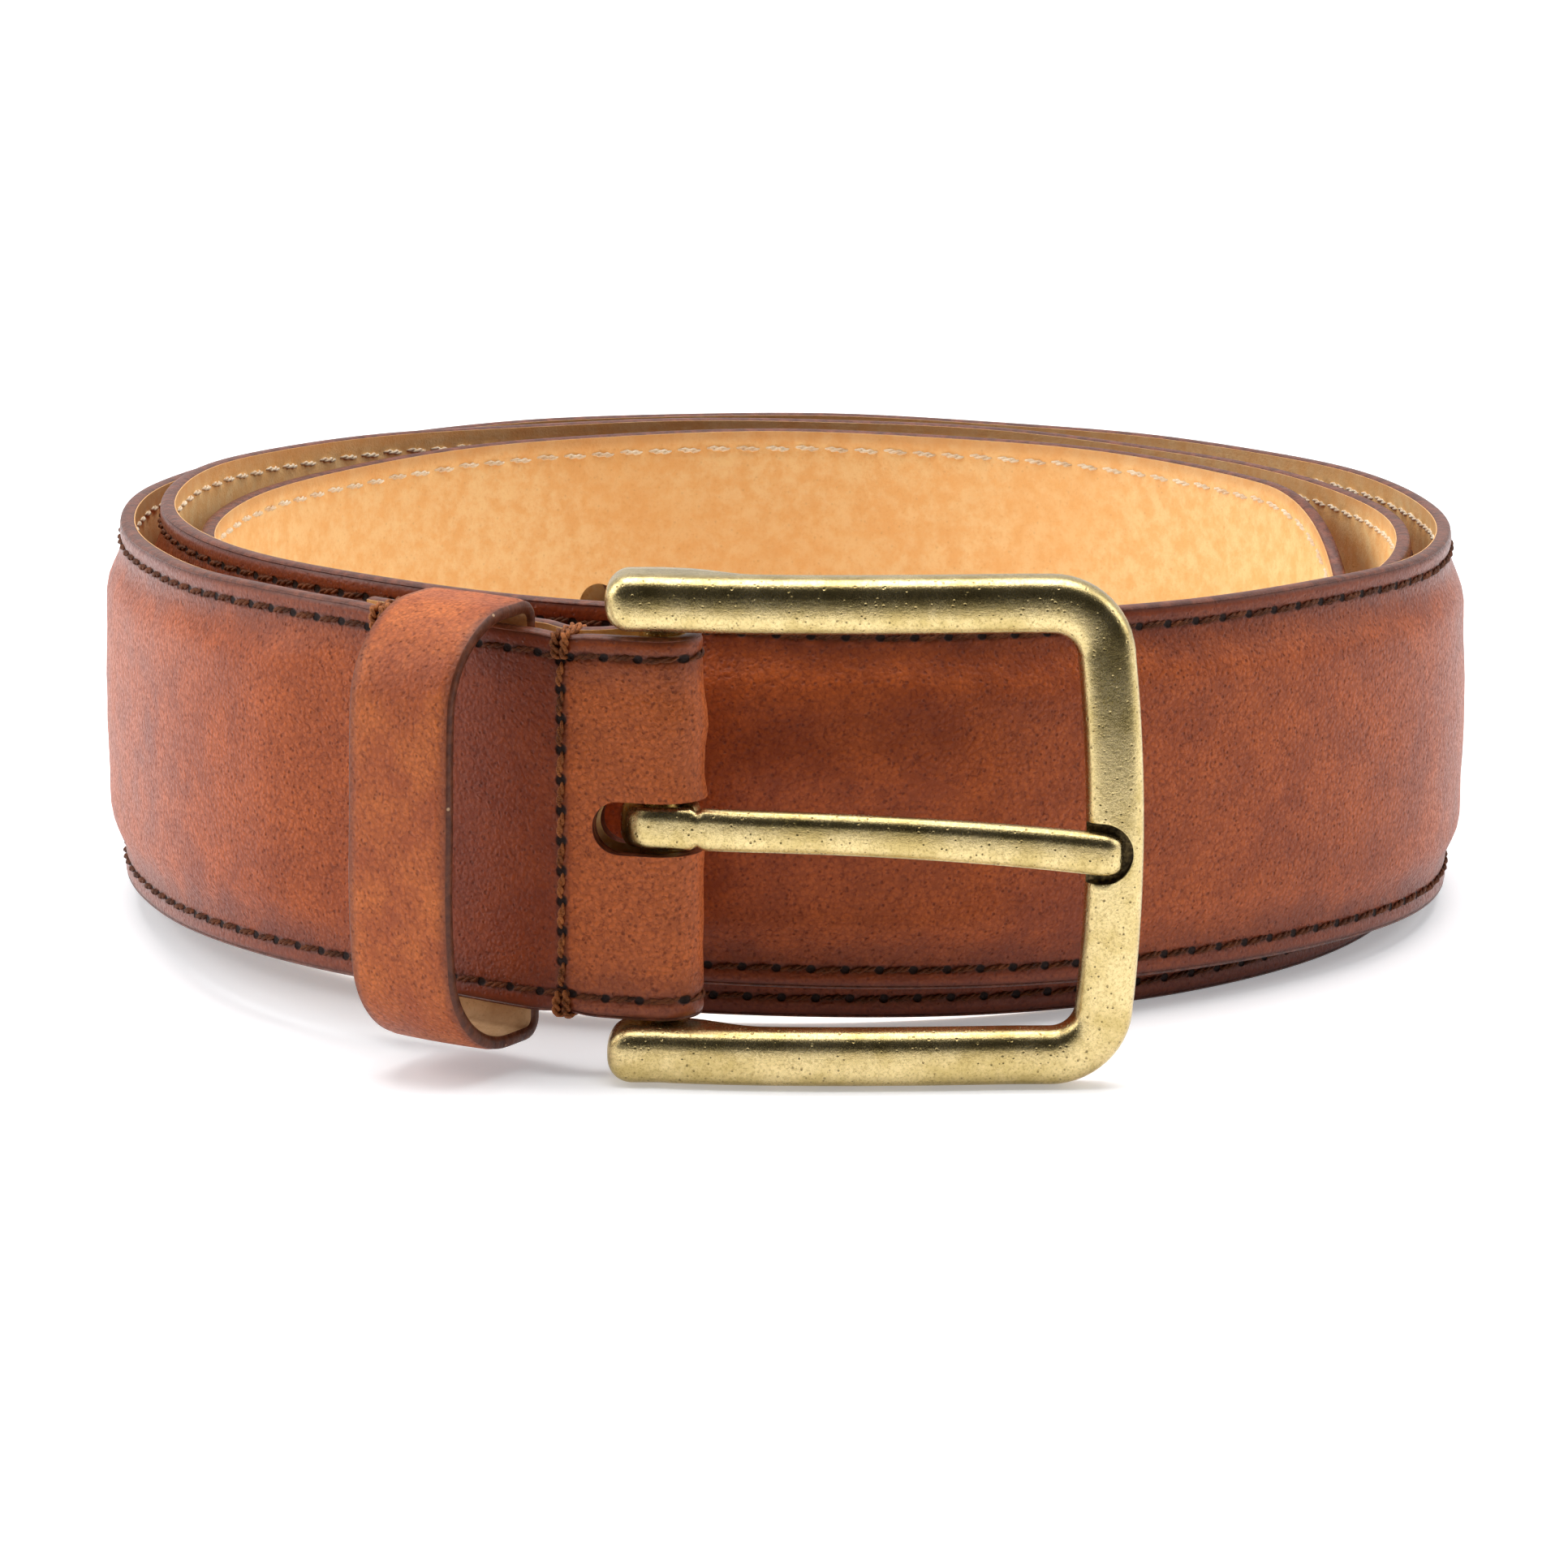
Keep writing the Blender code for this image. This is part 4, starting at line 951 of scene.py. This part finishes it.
dull_brass = dull_brass_finish.done(
    Base_Color=dull_brass_finish.mixed(notch_dirt.rise(0.4, 0.7), (0.055, 0.038, 0.017),
                                       (0.26, 0.19, 0.085)),
    Roughness=notch_dirt * 0.3 + 0.35,
    Normal=dull_brass_finish.bumped(notch_dirt, 0.08))
buckle = tidied(new_piece("brass_frame", by_bar(points).reshape(-1, 3),
                          swept_ring(len(x), len(section), False), [brass], 50))


def prong_height(along):
    """Height of the prong's middle over the buckle's middle: it droops to its end."""
    slot_height = SLOT_CENTRE_HEIGHT - BUCKLE_HEIGHT / 2
    return slot_height - PRONG_DROOP * (np.maximum(along, 0) / PRONG_LENGTH) ** 2.6


radius = NOTCH_HEIGHT / 2
end = BUCKLE_REACH + ARM_HEIGHT / 2 - NOTCH_END
notch_outline = [(end - 9, -radius), (end - 9, radius)]
for turn in np.linspace(math.pi / 2, -math.pi / 2, 28):
    notch_outline.append((end - radius + radius * math.cos(turn), radius * math.sin(turn)))
notch_floor = ARM_FORWARD + OUTER_BAR_ARCH + ARM_DEPTH / 2 - NOTCH_DEPTH
points, faces = prism(notch_outline, (np.array([1.0, 0, 0]), up_way, np.array([0, -1.0, 0])),
                      np.array([0, 0, prong_height(end - radius)]), notch_floor, 9.0)
cutter = tidied(new_piece("notch_cutter", by_bar(points), faces, [dull_brass]))
cut = buckle.modifiers.new("notched", "BOOLEAN")
cut.operation = "DIFFERENCE"
cut.solver = "EXACT"
cut.material_mode = "TRANSFER"
cut.object = cutter
round_over = buckle.modifiers.new("worn_rims", "BEVEL")
round_over.width = 0.22 * MM
round_over.segments = 2
round_over.limit_method = "ANGLE"
round_over.angle_limit = math.radians(50)
notched = bpy.data.meshes.new_from_object(
    buckle.evaluated_get(bpy.context.evaluated_depsgraph_get()))
buckle.modifiers.clear()
buckle.data = notched
bpy.data.objects.remove(cutter, do_unlink=True)
buckle.data.shade_smooth()
buckle.data.set_sharp_from_angle(angle=math.radians(50))
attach(buckle, "buckle")
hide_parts("buckle_frame")

# ---- The heel bar
# A plain round brass bar between the arms, flared where it runs into the casting. The
# strap is folded round it and it is the axis of both the frame and the prong.
HEEL_BAR_RADIUS = 1.9
bar_end = BUCKLE_HEIGHT / 2 - ARM_HEIGHT + 0.8
heights = np.concatenate([np.linspace(-bar_end, -bar_end + 1.2, 7),
                          np.linspace(-bar_end + 4, bar_end - 4, 9),
                          np.linspace(bar_end - 1.2, bar_end, 7)])
flare = 1 + 0.28 * (np.clip((np.abs(heights) - bar_end + 1.2) / 1.2, 0, 1)) ** 2
turn = np.linspace(0, 2 * math.pi, 28, endpoint=False)
points = np.stack([HEEL_BAR_RADIUS * flare[:, None] * np.cos(turn),
                   HEEL_BAR_RADIUS * flare[:, None] * np.sin(turn),
                   heights[:, None] + 0 * turn], -1)
heel_bar = tidied(new_piece("brass_heel_bar", by_bar(points).reshape(-1, 3),
                            swept_ring(len(heights), 28, False),
                            [brass_finish("rubbed_brass", 0.4)], 50))
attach(heel_bar, "buckle")
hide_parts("heel_bar")

# ---- The prong
# A flat brass tongue, curled round the heel bar through the slot and crimped where its
# curl closes. It rests on the frame's outer bar, in the notch.
PRONG_WIDTH = 3.9
PRONG_CURL_INSIDE = 2.15
PRONG_CURL_THICKNESS = 1.5
PRONG_THICKNESS = 2.2
PRONG_RISE = 4.0
CRIMP = 3.2
curl_middle = PRONG_CURL_INSIDE + PRONG_CURL_THICKNESS / 2
curl_turn = np.radians(np.arange(-390, -92, 7.5))
curl = [(curl_middle * math.cos(a), curl_middle * math.sin(a), a, PRONG_CURL_THICKNESS, 1.0)
        for a in curl_turn]
shaft = []
for along in np.concatenate([np.linspace(0.0, 5.0, 22), np.linspace(5.6, 38.5, 40),
                             np.linspace(38.9, PRONG_LENGTH, 12)]):
    thickness = PRONG_CURL_THICKNESS + (PRONG_THICKNESS - PRONG_CURL_THICKNESS) * ease(along, 0.5, 8)
    rounding = max(0.0, (along - PRONG_LENGTH + 2.2) / 2.2)
    thickness *= 1 - 0.55 * rounding ** 3
    width = 1 - 0.035 * math.sin(math.pi * min(along / 38, 1)) - 0.30 * rounding ** 2.5
    width -= 0.17 * bell(along, CRIMP, 0.38)
    inner = -PRONG_CURL_INSIDE - PRONG_RISE * along / PRONG_LENGTH
    shaft.append((along, inner - thickness / 2, -math.pi / 2, thickness, width))
x, y, turn, thickness, width = (np.array(column) for column in zip(*(curl + shaft)))
outward = np.stack([np.cos(turn), np.sin(turn), 0 * turn], -1)
middle = np.stack([x, y, prong_height(x)], -1)
corner_turn = np.linspace(0, 2 * math.pi, 28, endpoint=False)
depth = np.sign(np.cos(corner_turn)) * np.abs(np.cos(corner_turn)) ** 0.5 / 2
height = np.sign(np.sin(corner_turn)) * np.abs(np.sin(corner_turn)) ** 0.5 / 2
chamfer = 1 - 0.20 * ease(depth, 0.1, 0.5)
points = (middle[:, None] + outward[:, None] * (depth * thickness[:, None])[..., None]
          + up_way * (height * chamfer * PRONG_WIDTH * width[:, None])[..., None])
prong = tidied(new_piece("brass_prong", by_bar(points).reshape(-1, 3),
                         swept_ring(len(x), 28, False), [brass_finish("prong_brass", 0.8)], 50))
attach(prong, "tongue")
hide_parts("prong")

# ---- The studio table
# A white sweep of card under and behind the belt, a large softbox over it and one each
# side. The room in front of the card is dark, so the brass has something to reflect.
floor_finish = Finish("white_card", Roughness=0.9, Specular_IOR_Level=0.1, Emission_Strength=1.0)
card = floor_finish.noise(floor_finish.place(), 0.02, 2.0)
seen_straight = floor_finish.node("LightPath", out=0).most(
    floor_finish.node("LightPath", out=3))
floor_material = floor_finish.done(
    Base_Color=floor_finish.mixed(card, (0.90, 0.905, 0.92), (0.92, 0.92, 0.93)),
    Emission_Color=floor_finish.mixed(seen_straight, (0.0, 0.0, 0.0), (0.29, 0.295, 0.305)))
CARD_REACH = 3000.0
CARD_FRONT = -212.0
CARD_TOP = -0.2
floor = new_piece("table_card", [(-CARD_REACH, CARD_FRONT, CARD_TOP),
                                 (CARD_REACH, CARD_FRONT, CARD_TOP),
                                 (CARD_REACH, CARD_REACH, CARD_TOP),
                                 (-CARD_REACH, CARD_REACH, CARD_TOP)],
                  [(0, 1, 2, 3)], [floor_material])


class Room(Finish):
    """The studio round the table, built up as a finish is."""

    def __init__(self, name, **set_once):
        self.begin(bpy.data.worlds.new(name), "Background", set_once)


room = Room("studio", Color=(1.0, 1.0, 1.0, 1.0))
backward = room.node("SeparateXYZ", sockets={0: room.node("TexCoord", out=0)}, out=1)
wall_light = room.node("MapRange", sockets={"Value": backward, "From Min": -0.40, "From Max": 0.25,
                                            "To Min": 0.03, "To Max": 0.75})
bpy.context.scene.world = room.done(Strength=wall_light.most(room.node("LightPath", out=0)))


def softbox(name, place, aim, width, height, power):
    lamp = bpy.data.lights.new(name, "AREA")
    lamp.shape = "RECTANGLE"
    lamp.size = width
    lamp.size_y = height
    lamp.energy = power
    box = bpy.data.objects.new(name, lamp)
    bpy.context.scene.collection.objects.link(box)
    box.location = place
    way = Vector(aim) - Vector(place)
    box.rotation_euler = way.to_track_quat("-Z", "Y").to_euler()


softbox("softbox_over", (0.0, 0.12, 1.5), (0, 0, 0), 1.5, 1.3, 25)
softbox("softbox_left", (-1.1, -0.1, 0.62), (0, 0, 0.02), 0.7, 1.0, 8)
softbox("softbox_right", (1.2, 0.1, 0.75), (0, 0, 0.02), 0.7, 1.0, 4.5)

camera_data = bpy.data.cameras.new("camera")
camera_data.lens = 184.8
camera_data.sensor_width = 36.0
camera_data.clip_end = 20.0
camera = bpy.data.objects.new("camera", camera_data)
bpy.context.scene.collection.objects.link(camera)
camera.location = (-0.000225, -0.7686, 0.1914)
camera.rotation_euler = (math.radians(90 - 13.17), 0, 0)
bpy.context.scene.camera = camera
bpy.context.scene.view_settings.view_transform = "Standard"
